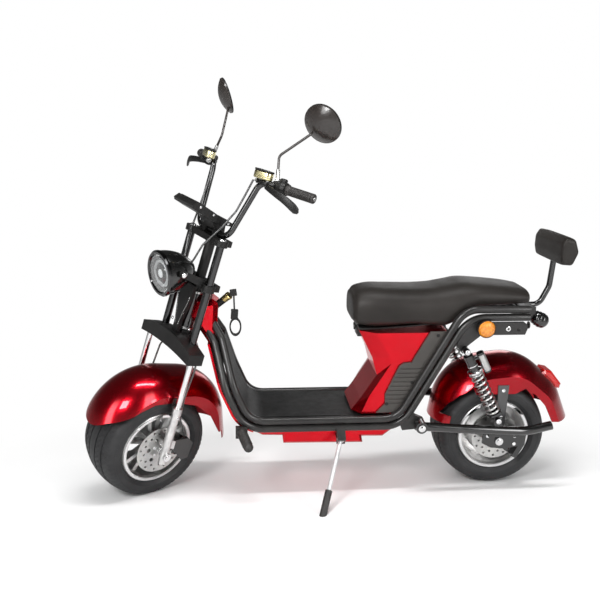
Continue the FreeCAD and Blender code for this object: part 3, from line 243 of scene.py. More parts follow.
BRAID = finish("braided_hose", (0.015, 0.015, 0.015), (0.22, 0.22, 0.22), (0.26, 0.40), metallic=0.7, grain="voronoi",
               grain_scale=500.0, bump=0.5, depth=0.0004, patch_scale=420.0)
STRAP = finish("grey_steel", (0.075, 0.075, 0.076), (0.115, 0.115, 0.116), (0.34, 0.48), metallic=0.5,
               grain_scale=900.0, bump=0.12, depth=0.0001)
LENS = glass("clear_lens", (0.97, 0.98, 0.98))

# Finish of each piece that keeps its frame shape
NODE_FINISH = {
    PAINT: ["neck_cover", "front_shield", "belly_pan", "centre_body"],
    # the fenders take the darker copy of the red, which is painted shade
    SHADED_PAINT: ["rear_fender", "front_fender"],
    FRAME_BLACK: ["frame_tubes_left", "frame_tubes_right", "cross_members", "tail_plates", "frame_brackets",
                  "tail_bracket", "fender_stays", "seat_hinge"],
    GLOSS_BLACK: ["head_tube", "headlight_bucket", "handlebar", "swingarm", "backrest_post", "tail_pods",
                  "shock_absorbers", "brake_controls", "front_calipers", "rear_caliper"],
    SHELL: ["mirrors"],
    RUBBER: ["front_tyre", "rear_tyre"],
    MAT: ["floor_mat"],
    GRIP_RUBBER: ["grips", "foot_pegs", "stand_foot"],
    LEATHER: ["seat_cushion", "backrest_pad"],
    PANEL: ["side_panels"],
    PLASTIC: ["floor_board", "seat_pan", "dash_board", "switch_pods", "column_cover", "key_lock", "fork_yokes",
              "top_clamp", "headlight_bracket"],
    CHROME: ["fork_stanchions", "front_axle", "rear_axle"],
    BLACK_CHROME: ["fork_upper_tubes"],
    ZINC: ["stand_leg"],
    BRAID: ["hoses"],
    ALLOY: ["front_rim", "rear_rim", "fork_sliders"],
    STEEL: ["front_discs", "rear_disc", "shock_springs"],
    STRAP: ["fender_straps"],
    GOLD: ["reservoirs"],
    AMBER: ["turn_lamps"],
    RED_LENS: ["tail_light"],
    LENS: ["headlight_lens"],
}


def dress_nodes():
    for material, names in NODE_FINISH.items():
        for name in names:
            for slot in frame["nodes"][name].material_slots:
                slot.material = material


# Mesh helpers: every builder works in millimetres in a local frame

def piece(name, shape, place, body, material, stands_for=(), sharp_angle=40.0):
    """A finished mesh that rides on a body and may stand for nodes of the frame."""
    bmesh.ops.recalc_face_normals(shape, faces=shape.faces)
    mesh = bpy.data.meshes.new(name)
    shape.to_mesh(mesh)
    shape.free()
    mesh.transform(place)
    mesh.materials.append(material)
    mesh.polygons.foreach_set("use_smooth", [True] * len(mesh.polygons))
    mesh.set_sharp_from_angle(angle=math.radians(sharp_angle))
    thing = bpy.data.objects.new(name, mesh)
    bpy.context.scene.collection.objects.link(thing)
    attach(thing, body)
    if stands_for:
        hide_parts(*stands_for)
    return thing


def skin(shape, rings):
    """Quads between successive rings of points, with a face over each end."""
    rows = [[shape.verts.new(point) for point in ring] for ring in rings]
    join_rows(shape, rows)
    shape.faces.new(list(reversed(rows[0])))
    shape.faces.new(rows[-1])


def join_rows(shape, rows):
    count = len(rows[0])
    for row, ahead in zip(rows, rows[1:]):
        for i in range(count):
            j = (i + 1) % count
            shape.faces.new((row[i], row[j], ahead[j], ahead[i]))


def lathe(shape, profile, place=None, steps=64, closed=False):
    """Profile points (along, radius) turned about the x axis."""
    place = place or Matrix.Identity(4)
    rings = []
    for along, radius in profile:
        ring = []
        for step in range(steps):
            angle = 2 * math.pi * step / steps
            ring.append(place @ Vector((along, radius * math.cos(angle), radius * math.sin(angle))))
        rings.append(ring)
    if not closed:
        skin(shape, rings)
        return
    rows = [[shape.verts.new(point) for point in ring] for ring in rings]
    join_rows(shape, rows + rows[:1])


def aimed(origin, direction):
    """Local frame whose x axis points along the direction."""
    turn = Vector(direction).normalized().to_track_quat("X", "Z").to_matrix().to_4x4()
    return Matrix.Translation(Vector(origin)) @ turn


washer_ratio = 1.55
socket_ratio = 0.55


def bolt(shape, origin, direction, radius=6.0, height=5.0, socket=True):
    """A cap screw or hexagon head with its washer, standing on the given point."""
    place = aimed(origin, direction)
    washer = radius * washer_ratio
    lathe(shape, [(-0.5, washer), (1.2, washer), (1.4, radius * 1.4)], place, 24)
    if socket:
        profile = [(1.2, radius), (height - 0.8, radius), (height, radius - 0.8),
                   (height, radius * socket_ratio), (height * 0.45, radius * 0.5)]
        lathe(shape, profile, place, 20)
    else:
        lathe(shape, [(1.2, radius), (height - 0.8, radius), (height, radius * 0.84)], place, 6)


def curve_through(ends, parts):
    """Points on a smooth curve through all points but the first and last, which only set its ends."""
    route = []
    for before, start, end, after in zip(ends, ends[1:], ends[2:], ends[3:]):
        for part in range(parts):
            t = part / parts
            square = 2 * before - 5 * start + 4 * end - after
            cube = 3 * start - before - 3 * end + after
            route.append(0.5 * (2 * start + (end - before) * t + square * t ** 2 + cube * t ** 3))
    route.append(ends[-2])
    return route


def smooth_route(points, parts=8):
    points = [Vector(point) for point in points]
    return curve_through([points[0] * 2 - points[1]] + points + [points[-1] * 2 - points[-2]], parts)


# Tyres: round crown, four ring grooves and slanted shoulder sipes

tread_grooves = [(-62.0, 3.5), (-22.0, 3.0), (22.0, 3.0), (62.0, 3.5)]
tread_depth = 4.5
tread_stations = 24
groove_margin = 3.0
sipe_count = 60
sipe_share = 0.17
sipe_depth = 2.6
sipe_lean = 0.0045
tyre_steps = 480


def crown_height(y):
    return tyre_radius - crown_radius + math.sqrt(crown_radius ** 2 - y ** 2)


def tread_section():
    """Rows across the tyre: side offset, radius, and whether a sipe may cut there."""
    rows = []
    stations = set()
    for centre, half in tread_grooves:
        stations.update((centre - half - 1, centre - half, centre + half, centre + half + 1))
    for step in range(tread_stations + 1):
        y = -crown_half + 2 * crown_half * step / tread_stations
        if all(abs(y - centre) > half + groove_margin for centre, half in tread_grooves):
            stations.add(y)
    for y in sorted(stations):
        sunk = any(abs(y - centre) <= half for centre, half in tread_grooves)
        cuts = 26 < abs(y) < 58 or 66 < abs(y) < 92
        rows.append((y, crown_height(y) - (tread_depth if sunk else 0.0), cuts))
    edge = crown_height(crown_half)
    bead = rim_flange_radius
    left = [(102, edge - 5, True), (107, edge - 12, True), (110, edge - 20, False), (110.5, edge - 23, False),
            (109.5, edge - 24, False), (111, edge - 32, False), (109.5, edge - 42, False),
            (110, edge - 43, False), (108.5, edge - 45, False), (104, bead + 9, False), (99, bead + 2, False),
            (94, bead + 0.5, False)]
    right = [(-y, radius, cut) for y, radius, cut in reversed(left)]
    inner = [(92, bead - 4, False), (-92, bead - 4, False)]
    return right + rows + left + inner


def make_tyre(name, place, body):
    shape = bmesh.new()
    section = tread_section()
    rows = []
    for step in range(tyre_steps):
        angle = 2 * math.pi * step / tyre_steps
        row = []
        for y, radius, cuts in section:
            phase = (angle + y * sipe_lean) * sipe_count / (2 * math.pi)
            if cuts and phase % 1.0 < sipe_share:
                radius -= sipe_depth
            row.append(shape.verts.new((radius * math.sin(angle), y, radius * math.cos(angle))))
        rows.append(row)
    join_rows(shape, rows + rows[:1])
    piece(name + "_tread", shape, place, body, RUBBER, [name], sharp_angle=34)


# Seat and backrest: crowned cushions

# Sections of the seat in side view: x, underside, top, half width
seat_sections = [
    (564, 676, 774, 92),
    (548, 662, 790, 106),
    (500, 658, 800, 119),
    (440, 660, 799, 127),
    (334, 667, 797, 130.5),
    (262, 661, 801, 131),
    (226, 659, 807, 131),
    (192, 673, 813, 130.5),
    (160, 702, 819, 129.5),
    (130, 722, 820, 129),
    (100, 735, 818, 128.5),
    (30, 739, 812, 127),
    (-40, 743, 804, 124),
    (-84, 745, 796, 115),
]
seat_nose = 572.0
seat_tail = -98.0
cushion_steps = 56
flank_power = 0.46
crown_power = 0.62
base_power = 0.34
waist_share = 0.44
crown_pull = 0.16
base_pull = 0.10


def cushion_ring(x, low, high, half):
    """A closed section: flat base, full flanks and a softly crowned top."""
    ring = []
    middle = low + (high - low) * waist_share
    for step in range(cushion_steps):
        angle = 2 * math.pi * step / cushion_steps
        c, s = math.cos(angle), math.sin(angle)
        y = half * math.copysign(abs(c) ** flank_power, c)
        z = math.copysign(abs(s) ** (crown_power if s > 0 else base_power), s)
        reach, pull = (high - middle, crown_pull) if z >= 0 else (middle - low, base_pull)
        ring.append(Vector((x, y * (1.0 - pull * z ** 2), middle + reach * z)))
    return ring


def blended_sections(table, parts=6):
    """More sections between those of the table, on a smooth curve."""
    points = [Vector(row) for row in table]
    return [tuple(point) for point in curve_through(points[:1] + points + points[-1:], parts)]


def make_seat():
    shape = bmesh.new()
    table = blended_sections(seat_sections)
    caps = []
    for end, (x, low, high, half) in ((seat_nose, table[0]), (seat_tail, table[-1])):
        cap = []
        for step in range(6):
            turn = math.radians(90 - 15 * step)
            reach = math.sin(turn)
            shrink = 0.52 + 0.48 * math.cos(turn) ** 0.8
            middle = (low + high) / 2
            cap.append(cushion_ring(x + (end - x) * reach, middle - (middle - low) * shrink,
                                    middle + (high - middle) * shrink, half * shrink))
        caps.append(cap)
    body = [cushion_ring(*row) for row in table]
    skin(shape, caps[0] + body + list(reversed(caps[1])))
    seat = piece("seat_cover", shape, BIKE, "seat", LEATHER, ["seat_cushion"], sharp_angle=80)


pad_profile = [(-236, 893), (-195, 896), (-187, 930), (-188, 975), (-203, 1000), (-240, 993), (-257, 944)]
pad_half = 130.0
pad_swell = 1.02


def make_backrest():
    """A block cushion with a seven-cornered section that draws in towards both ends."""
    shape = bmesh.new()
    corners = [Vector((x, 0, z)) for x, z in pad_profile]
    middle = sum(corners, Vector()) / len(corners)
    rings = []
    for y, shrink in ((-1.0, 0.66), (-0.985, 0.84), (-0.93, 0.95), (-0.82, 0.99), (-0.4, 1.0), (0.4, 1.0),
                      (0.82, 0.99), (0.93, 0.95), (0.985, 0.84), (1.0, 0.66)):
        ring = []
        for i, corner in enumerate(corners):
            before, after = corners[i - 1], corners[(i + 1) % len(corners)]
            for t in (0.28, 0.10):
                ring.append(corner + (before - corner) * t)
            for t in (0.10, 0.28):
                ring.append(corner + (after - corner) * t)
        rings.append([middle + (point - middle) * shrink * pad_swell + Y_AXIS * y * pad_half for point in ring])
    skin(shape, rings)
    pad = piece("backrest_cover", shape, BIKE, "chassis", LEATHER, ["backrest_pad"], sharp_angle=80)
    soften = pad.modifiers.new("soften", "SUBSURF")
    soften.levels = 2
    soften.render_levels = 2


# Coil springs on the dampers: the end turns lie close together

wire_radius = 4.0
coil_turns = 9.1
spring_start = 95.5
spring_gap_below = 34.5
dead_share = 0.09
dead_slope = 0.25


def make_springs():
    top = Vector((shock_top[0], 0, shock_top[1]))
    foot = Vector((shock_foot[0], 0, shock_foot[1]))
    way = (foot - top).normalized()
    start, end = spring_start, (foot - top).length - spring_gap_below
    shape = bmesh.new()
    for side in (-1, 1):
        place = aimed(top + Y_AXIS * side * shock_track, way)
        steps = 260
        points = []
        for step in range(steps + 1):
            t = step / steps
            live = min(t, 1 - t) / dead_share
            along = start + wire_radius + (end - start - 2 * wire_radius) * closing(t)
            angle = 2 * math.pi * coil_turns * t
            radius = spring_radius - wire_radius - 0.6 + min(live, 1) * 0.3
            points.append(place @ Vector((along, radius * math.cos(angle), radius * math.sin(angle))))
        rings = []
        for i, point in enumerate(points):
            ahead = (points[min(i + 1, steps)] - points[max(i - 1, 0)]).normalized()
            out = (point - place @ Vector(((place.inverted() @ point).x, 0, 0))).normalized()
            up = ahead.cross(out).normalized()
            rings.append([point + (out * math.cos(a) + up * math.sin(a)) * wire_radius
                          for a in (2 * math.pi * s / 10 for s in range(10))])
        skin(shape, rings)
    piece("coil_springs", shape, BIKE, "chassis", STEEL, ["shock_springs"], sharp_angle=60)


def closing(t):
    """Share of the spring's length that is reached after the share t of its turns."""
    full = (1 - 2 * dead_share * dead_slope) / (1 - 2 * dead_share)
    if t < dead_share:
        return t * dead_slope
    if t > 1 - dead_share:
        return 1 - (1 - t) * dead_slope
    return dead_share * dead_slope + (t - dead_share) * full


# Small hardware and trim

SIDES = (1, -1)


def to_side(point, side):
    return Vector((point[0], point[1] * side, point[2]))


def turned_frame(centre, turns, side=1):
    place = Matrix.Translation(Vector(centre))
    for axis, degrees in turns:
        place = place @ Matrix.Rotation(math.radians(degrees), 4, axis)
    return Matrix.Scale(side, 4, Y_AXIS) @ place


def grip_frame(side):
    """Back along the bar from its outer end, then forward and up of it."""
    way = (Vector(bar_corner) - Vector(bar_end)).normalized()
    ahead = -Z_AXIS.cross(way).normalized()
    ahead = ahead if ahead.x > 0 else -ahead
    above = ahead.cross(way).normalized()
    above = above if above.z > 0 else -above
    turn = Matrix((way, ahead, above)).transposed().to_4x4()
    return Matrix.Scale(side, 4, Y_AXIS) @ Matrix.Translation(Vector(bar_end)) @ turn


def block(shape, place, low, high, soft=1.0):
    """A box between two corners with softened edges."""
    low, high = Vector(low), Vector(high)
    size = Matrix.Diagonal(high - low).to_4x4()
    made = bmesh.ops.create_cube(shape, size=1.0, matrix=Matrix.Translation((low + high) / 2) @ size)
    edges = {edge for vert in made["verts"] for edge in vert.link_edges}
    softened = bmesh.ops.bevel(shape, geom=list(edges), offset=soft, segments=3, affect="EDGES", profile=0.5)
    verts = {vert for face in softened["faces"] for vert in face.verts}
    bmesh.ops.transform(shape, matrix=place, verts=list(verts))


def dome(shape, origin, direction, radius, height):
    place = aimed(origin, direction)
    profile = [(-1.5, radius)]
    for step in range(7):
        turn = math.radians(15 * step)
        profile.append((height * (0.25 + 0.75 * math.sin(turn)), max(radius * math.cos(turn), 0.2)))
    lathe(shape, profile, place, 28)


def make_headlamp():
    place = FORK @ turned_frame(lamp_centre, (("Y", rake_angle),))
    r = lamp_radius
    shape = bmesh.new()
    lathe(shape, [(-4.5, r - 13), (0, r - 15), (3.5, r - 36), (5.2, r - 60), (5.6, 0.3), (3.6, 0.3), (3.2, r - 60),
                  (1.5, r - 36), (-2, r - 17), (-4.5, r - 17)], steps=96, closed=True)
    piece("headlamp_glass", shape, place, "steering", LENS, ["headlight_lens"], sharp_angle=50)
    shape = bmesh.new()
    lathe(shape, [(-4.8, r - 13), (-7, r - 19), (-11, r - 27), (-13.2, r - 31), (-13.2, 24), (-13.8, 24),
                  (-13.8, r - 13)], steps=96, closed=True)
    piece("headlamp_reflector", shape, place, "steering", BLACK_CHROME, (), sharp_angle=50)
    shape = bmesh.new()
    lathe(shape, [(-9.5, 61), (-7.2, 62.5), (-7.2, 65.5), (-8.4, 66.5), (-9.5, 65.5)], steps=96, closed=True)
    piece("headlamp_inner_ring", shape, place, "steering", CHROME, (), sharp_angle=50)
    shape = bmesh.new()
    lathe(shape, [(-13.2, 37), (-10, 38), (-7.5, 42), (-7.5, 47), (-10, 51), (-13.2, 52)], steps=96, closed=True)
    piece("headlamp_light_ring", shape, place, "steering", LAMP_WHITE, (), sharp_angle=50)
    shape = bmesh.new()
    lathe(shape, [(-13.2, 19), (-5, 20), (-3.2, 22), (-3.2, 25), (-6, 28), (-13.2, 33)], steps=72, closed=True)
    for turn in range(3):
        angle = math.radians(90 + 120 * turn)
        block(shape, Matrix.Rotation(angle, 4, "X"), (-13, -3, 30), (-9, 3, 62), 0.8)
    piece("headlamp_barrel", shape, place, "steering", GLOSS_BLACK, (), sharp_angle=40)
    shape = bmesh.new()
    lathe(shape, [(-13.4, 19), (-8, 18.6), (-4.4, 15.5), (-2.2, 10), (-1.4, 4), (-1.3, 0.2)], steps=48)
    piece("headlamp_projector", shape, place, "steering", MIRROR, (), sharp_angle=60)
    shape = bmesh.new()
    lathe(shape, [(-8.5, r + 2.1), (-8.5, r + 3), (-2.4, r + 3), (2.8, r - 1.6), (2.8, r - 9), (-3.4, r - 12.4),
                  (-3.8, r - 11.6), (2.0, r - 8.6), (2.0, r - 2), (-2.4, r + 2.1)], steps=96, closed=True)
    piece("headlamp_bezel", shape, place, "steering", BLACK_CHROME, (), sharp_angle=35)


def make_grips():
    profile = [(-2, 0.3), (-2, 12.5), (-0.5, 15.6), (2, 16.9), (9, 17.1), (10, 16.2), (12, 16.2), (13, 16.9)]
    for step in range(20):
        start = 15 + 4 * step
        profile += [(start, 16.9), (start + 2.7, 16.9), (start + 3.0, 16.1), (start + 3.7, 16.1)]
    profile += [(97, 17), (104, 17), (105, 18.6), (109, 18.6), (110, 17.6), (110, 11.3), (0, 11.3), (0, 0.3)]
    shape, pods = bmesh.new(), bmesh.new()
    buttons, ends = bmesh.new(), bmesh.new()
    for side in SIDES:
        place = grip_frame(side)
        lathe(shape, profile, place, 40, closed=True)
        lathe(pods, [(111, 11.3), (111, 20), (113, 23.5), (127, 25), (128, 24), (129, 25), (144, 24), (147, 20),
                     (147, 11.3)], place, 48, closed=True)
        block(pods, place, (113, -31, -15), (146, -6, 19), 5.0)
        block(pods, place, (118, -9, 16), (142, 12, 34), 5.5)
        for start, low, high in ((7, -6, 8), (20, -11, -1), (20, 3, 13)):
            block(buttons, place, (grip_length + start, -33.5, low), (grip_length + start + 9, -28, high), 1.5)
        way = (place @ Vector((-1, 0, 0)) - place @ Vector()).normalized()
        dome(ends, place @ Vector((-2, 0, 0)), way, 7.5, 2.5)
        inward = place @ Vector((grip_length + 110, 24.1, 2))
        bolt(ends, inward, -way, 6.0, 9.0, socket=False)
        up = (place @ Vector((0, 0, 1)) - place @ Vector()).normalized()
        for along in (76, 106):
            bolt(ends, place @ Vector((grip_length + along, 24.1, 44)), up, 2.4, 1.6)
        bolt(ends, place @ Vector((grip_length + 66, 28.1, 9)), up, 5.0, 4.0, socket=False)
        lathe(ends, [(grip_length + 34.5, 11.4), (grip_length + 34.5, 18.4), (grip_length + 37, 18.4),
                     (grip_length + 37, 11.4)], place, 40, closed=True)
        base = place @ Vector((grip_length + 47, -4, 15))
        corner = to_side((-46, 178, 1168), side)
        stem = aimed(base, corner - base)
        lathe(ends, [(6, 4.7), (6, 9.5), (13, 9.5), (13, 4.7)], stem, 6, closed=True)
        lathe(ends, [(13, 4.7), (13, 6.8), (42, 6.8), (46, 5.4), (46, 4.7)], stem, 24, closed=True)
    piece("grip_sleeves", shape, FORK, "steering", GRIP_RUBBER, ["grips"], sharp_angle=45)
    piece("switch_housings", pods, FORK, "steering", PLASTIC, ["switch_pods"], sharp_angle=40)
    piece("switch_buttons", buttons, FORK, "steering", DARK_GLASS, ())
    piece("bar_hardware", ends, FORK, "steering", STEEL, (), sharp_angle=35)


can_ends = (grip_length + 74, grip_length + 108)
can_forward = 24.1


def rounded_can(shape, place, low, high, radius, soft):
    """An upright oval can beside the bar: two round ends joined by flat sides, with softened rims."""
    rings = []
    for up, inset in ((low, soft), (low + soft * 0.4, soft * 0.3), (low + soft, 0), (high - soft, 0),
                      (high - soft * 0.4, soft * 0.3), (high, soft)):
        ring = []
        for step in range(48):
            angle = 2 * math.pi * step / 48
            centre = can_ends[1] if math.cos(angle) > 0 else can_ends[0]
            ring.append(place @ Vector((centre + (radius - inset) * math.cos(angle),
                                        can_forward + (radius - inset) * math.sin(angle), up)))
        rings.append(ring)
    skin(shape, rings)


# Lever blade beside the grip: distance, forward, up, half width and half height
lever_line = [
    (178, 28, -6, 8.0, 12.0),
    (152, 44, -12, 7.5, 10.5),
    (112, 57, -20, 7.0, 12.0),
    (72, 59, -30, 6.5, 14.0),
    (42, 52, -44, 6.5, 14.5),
    (22, 42, -59, 5.5, 11.0),
]


blade_thinness = 0.62


def lever_blade(shape, place):
    """A flat finger blade: wider in height than in thickness, with a round tip."""
    route = smooth_route([row[:3] for row in lever_line])
    rings = []
    for i, point in enumerate(route):
        t = i / (len(route) - 1) * (len(lever_line) - 1)
        k = min(int(t), len(lever_line) - 2)
        half, tall = (lever_line[k][n] + (lever_line[k + 1][n] - lever_line[k][n]) * (t - k) for n in (3, 4))
        ahead = (route[min(i + 1, len(route) - 1)] - route[max(i - 1, 0)]).normalized()
        out = ahead.cross(Z_AXIS).normalized()
        up = out.cross(ahead)
        tip = min(1.0, 0.35 + 0.65 * (len(route) - 1 - i) / 3)
        rings.append([place @ (point + (out * math.cos(a) * half * blade_thinness + up * math.sin(a) * tall) * tip)
                      for a in (2 * math.pi * s / 20 for s in range(20))])
    skin(shape, rings)


def make_controls():
    shape, cups = bmesh.new(), bmesh.new()
    for side in SIDES:
        place = grip_frame(side)
        lathe(shape, [(146, 11.4), (146, 16), (148, 17.5), (166, 17.5), (168, 16), (168, 11.4)], place, 40,
              closed=True)
        block(shape, place, (147, 10, -9), (167, 30, 9), 2.5)
        block(shape, place, (150, -20, -6), (164, -14, 6), 1.5)
        lathe(shape, [(148, 0.3), (148, 8.5), (150, 9.6), (200, 9.6), (204, 8), (218, 7.6), (220, 6), (220, 0.3)],
              place @ Matrix.Translation(Vector((0, 24.1, 2))), 28, closed=True)
        upright = place @ Matrix.Translation(Vector((176, 28.1, 0))) @ Matrix.Rotation(math.radians(-90), 4, "Y")
        lathe(shape, [(-9, 10), (-8, 12.4), (8, 12.4), (9, 10)], upright, 32)
        block(shape, place, (168, 22, -7), (190, 46, 7), 2.5)
        lever_blade(shape, place)
        rounded_can(shape, place, 38.2, 43.8, 20.2, 1.6)
        rounded_can(cups, place, 11.4, 38.1, 19.0, 3.0)
        for start in (16, 22, 28):
            rounded_can(cups, place, start, start + 2.6, 19.5, 0.8)
    piece("brake_levers", shape, FORK, "steering", PLASTIC, ["brake_controls"], sharp_angle=40)
    piece("fluid_cups", cups, FORK, "steering", GOLD, ["reservoirs"], sharp_angle=40)


def make_mirror_glass():
    glass_shape, rim = bmesh.new(), bmesh.new()
    r = mirror_radius
    for side in SIDES:
        place = turned_frame(mirror_centre, (("Z", mirror_toe), ("Y", mirror_pitch)), side)
        lathe(glass_shape, [(-5.2, 0.3), (-5.2, r - 2), (-6.4, r - 2.6), (-6.4, 0.3)], place, 72, closed=True)
        lathe(rim, [(-2.5, r - 1.2), (-2.5, r - 0.2), (-6.5, r - 0.2), (-7.6, r - 1.2), (-7.2, r - 2.8),
                    (-5.1, r - 2.8)], place, 72, closed=True)
    piece("mirror_faces", glass_shape, FORK, "steering", MIRROR, (), sharp_angle=30)
    piece("mirror_rims", rim, FORK, "steering", PLASTIC, (), sharp_angle=40)


def make_cockpit():
    """Instrument face, clamp bolts, fork caps, lamp bolts and the studs of the column cover."""
    z = top_clamp_height
    slope = math.degrees(math.atan2(36, 108))
    place = turned_frame((92, 0, z + 82), (("Y", -slope),))
    face, frame_shape, bolts = bmesh.new(), bmesh.new(), bmesh.new()
    block(face, place, (-42, -48, 0.5), (42, 48, 3.2), 1.2)
    block(frame_shape, place, (-50, -57, -2), (50, 57, 2.2), 1.6)
    block(frame_shape, turned_frame((6, 0, z + 57), (("Y", -13.6),)), (-26, -36, -2), (18, 36, 2.4), 1.4)
    for side in SIDES:
        for along, up in ((126, 84), (64, 66), (-8, 44)):
            bolt(bolts, (along, side * 62, z + up), (0, side, 0), 3.2, 2.4)
        for along in (-4, 16):
            bolt(bolts, (along, side * 36, z + 16), (0, 0, 1), 4.2, 6.0)
        dome(bolts, (25, side * upper_track, z - 12), (0, 0, 1), 13.0, 7.0)
        dome(bolts, (137, side * (lamp_radius + 13), 681), (0, side, 0), 11.0, 7.5)
        bolt(bolts, (45.3, side * (leg_track + 16), 160), (0, side, 0), 4.0, 3.0)
        bolt(bolts, (28, side * 60, 468), (1, 0, 0), 4.0, 4.0)
        for step in range(13):
            c = 472 + 9 * step
            half = 17 + 27 * max(c - 480, 0) / 102
            dome(bolts, (48, side * (half - 6), c), (1, 0, 0), 2.0, 1.6)
    piece("dash_face", face, FORK, "steering", DARK_GLASS, ())
    piece("dash_frame", frame_shape, FORK, "steering", PLASTIC, ())
    piece("steering_bolts", bolts, FORK, "steering", CHROME, (), sharp_angle=35)
    cups = bmesh.new()
    for c, way in ((head_tube_high - 9, 1), (head_tube_low + 9, -1)):
        lathe(cups, [(0, 26.1), (0, 28.6), (7, 28.6), (8.6, 27.4), (8.6, 26.1)], aimed((0, 0, c), (0, 0, way)), 48,
              closed=True)
    piece("bearing_cups", cups, FORK, "chassis", STEEL, (), sharp_angle=35)


def make_key():
    lock_face, lock_way = Vector((1026, 52, 774)), Vector((-52, 30, 48))
    shape = bmesh.new()
    lathe(shape, [(-26, 13.05), (-26, 13.8), (-8, 13.8), (-7, 15), (0.6, 15), (2.2, 13.2), (2.2, 6), (0.8, 5.6),
                  (0.8, 13.05)], aimed(lock_face, lock_way), 40, closed=True)
    for step in range(2):
        lathe(shape, [(0, 2.6), (0.9, 3.5), (0, 4.4), (-0.9, 3.5)],
              turned_frame((1007, 58.5, 776 - 5 * step), (("X", 90 * step),)), 20, closed=True)
    piece("lock_barrel", shape, BIKE, "chassis", BRASS, (), sharp_angle=35)
    shape = bmesh.new()
    block(shape, turned_frame((1010.5, 58.5, 786), (("Y", 8),)), (-12.4, -4.2, -13), (12.4, 4.2, 13), 2.6)
    block(shape, turned_frame((1007, 59, 704), (("Y", -4),)), (-13.4, -6.6, -19.4), (13.4, 6.6, 19.4), 4.0)
    piece("key_heads", shape, BIKE, "chassis", PLASTIC, ())


def make_chassis_trim():
    bolts, dark, plugs = bmesh.new(), bmesh.new(), bmesh.new()
    top = Vector((shock_top[0], 0, shock_top[1]))
    way = (Vector((shock_foot[0], 0, shock_foot[1])) - top).normalized()
    behind = Vector((way.z, 0, -way.x))
    cans = bmesh.new()
    for side in SIDES:
        out = (0, side, 0)
        dome(bolts, (shock_top[0], side * (shock_track + 24), shock_top[1]), out, 10.5, 6.5)
        bolt(bolts, (shock_foot[0], side * (shock_track + 22), shock_foot[1]), out, 6.5, 5.0, socket=False)
        bolt(bolts, (316, side * (swing_track + 23), 298), out, 8.5, 7.0, socket=False)
        for x, z in ((44, 238), (-62, 236), (-62, 203), (-16, 247)):
            bolt(bolts, (x, side * (swing_track - 28), z), out, 4.6, 4.0)
        for x, z in ((-14, 300), (-15, 410)):
            bolt(bolts, (x, side * 126.3, z), out, 4.4, 3.2)
        lathe(bolts, [(0, 4.5), (0, 9.2), (1.4, 9.2), (1.8, 8.4), (1.8, 4.5)],
              aimed((0, side * (tube_track + 6), 665), out), 32, closed=True)
        for x, z in ((258, 638), (347, 456), (440, 372)):
            bolt(dark, (x, side * (body_half + 9), z), out, 4.2, 1.8)
        for x, z in ((-40, 660), (60, 660)):
            bolt(dark, (x, side * (tube_track + 6), z), out, 4.0, 3.0)
        cup = aimed((90, side * (tube_track + 6.3), 672), out)
        lathe(dark, [(0, 0.3), (0, 9.5), (9.2, 9.5), (9.4, 30.8), (23.5, 32.9), (26.5, 33.0), (26.5, 31.6),
                     (23.7, 32.1), (10, 30.2), (10, 0.3)], cup, 48, closed=True)
        for height in (708, 678):
            dome(plugs, (-78, side * tube_track, height), (-1, 0, 0), 13.6, 4.0)
        shock = aimed(top + Y_AXIS * side * shock_track, way)
        lathe(bolts, [(84, 18.1), (84, 24), (87, 28.3), (94.6, 28.3), (94.6, 18.1)], shock, 48, closed=True)
        lathe(bolts, [(62, 18.1), (62, 20), (66, 20), (66, 18.1)], shock, 40, closed=True)
        can = aimed(top + Y_AXIS * side * shock_track + way * 30 + behind * 44, way)
        lathe(cans, [(9, 13.4), (9, 14.7), (74, 14.7), (80, 13.4), (84.8, 11.5), (84.8, 0.3), (60, 0.3), (60, 13.4)],
              can, 40, closed=True)
        peg_inner, peg_outer = Vector((984, side * 172, 284)), Vector((960, side * 234, 252))
        peg = aimed(peg_inner, peg_outer - peg_inner)
        for step in range(6):
            at = 10 + 10 * step
            lathe(plugs, [(at, 17.8), (at + 1, 19.2), (at + 5, 19.2), (at + 6, 17.8)], peg, 28, closed=True)
    piece("chassis_bolts", bolts, BIKE, "chassis", CHROME, (), sharp_angle=35)
    piece("dark_screws", dark, BIKE, "chassis", PLASTIC, (), sharp_angle=35)
    piece("tube_plugs", plugs, BIKE, "chassis", GRIP_RUBBER, (), sharp_angle=40)
    piece("damper_cans", cans, BIKE, "chassis", STEEL, (), sharp_angle=35)


def make_tail_pods():
    """Ribbed pods that hang behind the tail bracket."""
    profile = [(-2, 0.3), (-2, 15), (4, 24), (9, 26.5), (13, 24.5), (18, 28), (23, 29), (27, 26.5), (32, 29.5),
               (38, 30), (42, 27.5), (47, 28.5), (54, 25), (60, 19), (65, 10), (67, 0.3)]
    shape = bmesh.new()
    for side in SIDES:
        lathe(shape, profile, aimed((-124, side * 75, 692), (-88, 0, -48)), 40)
    piece("tail_pod_shells", shape, BIKE, "chassis", GLOSS_BLACK, ["tail_pods"], sharp_angle=50)


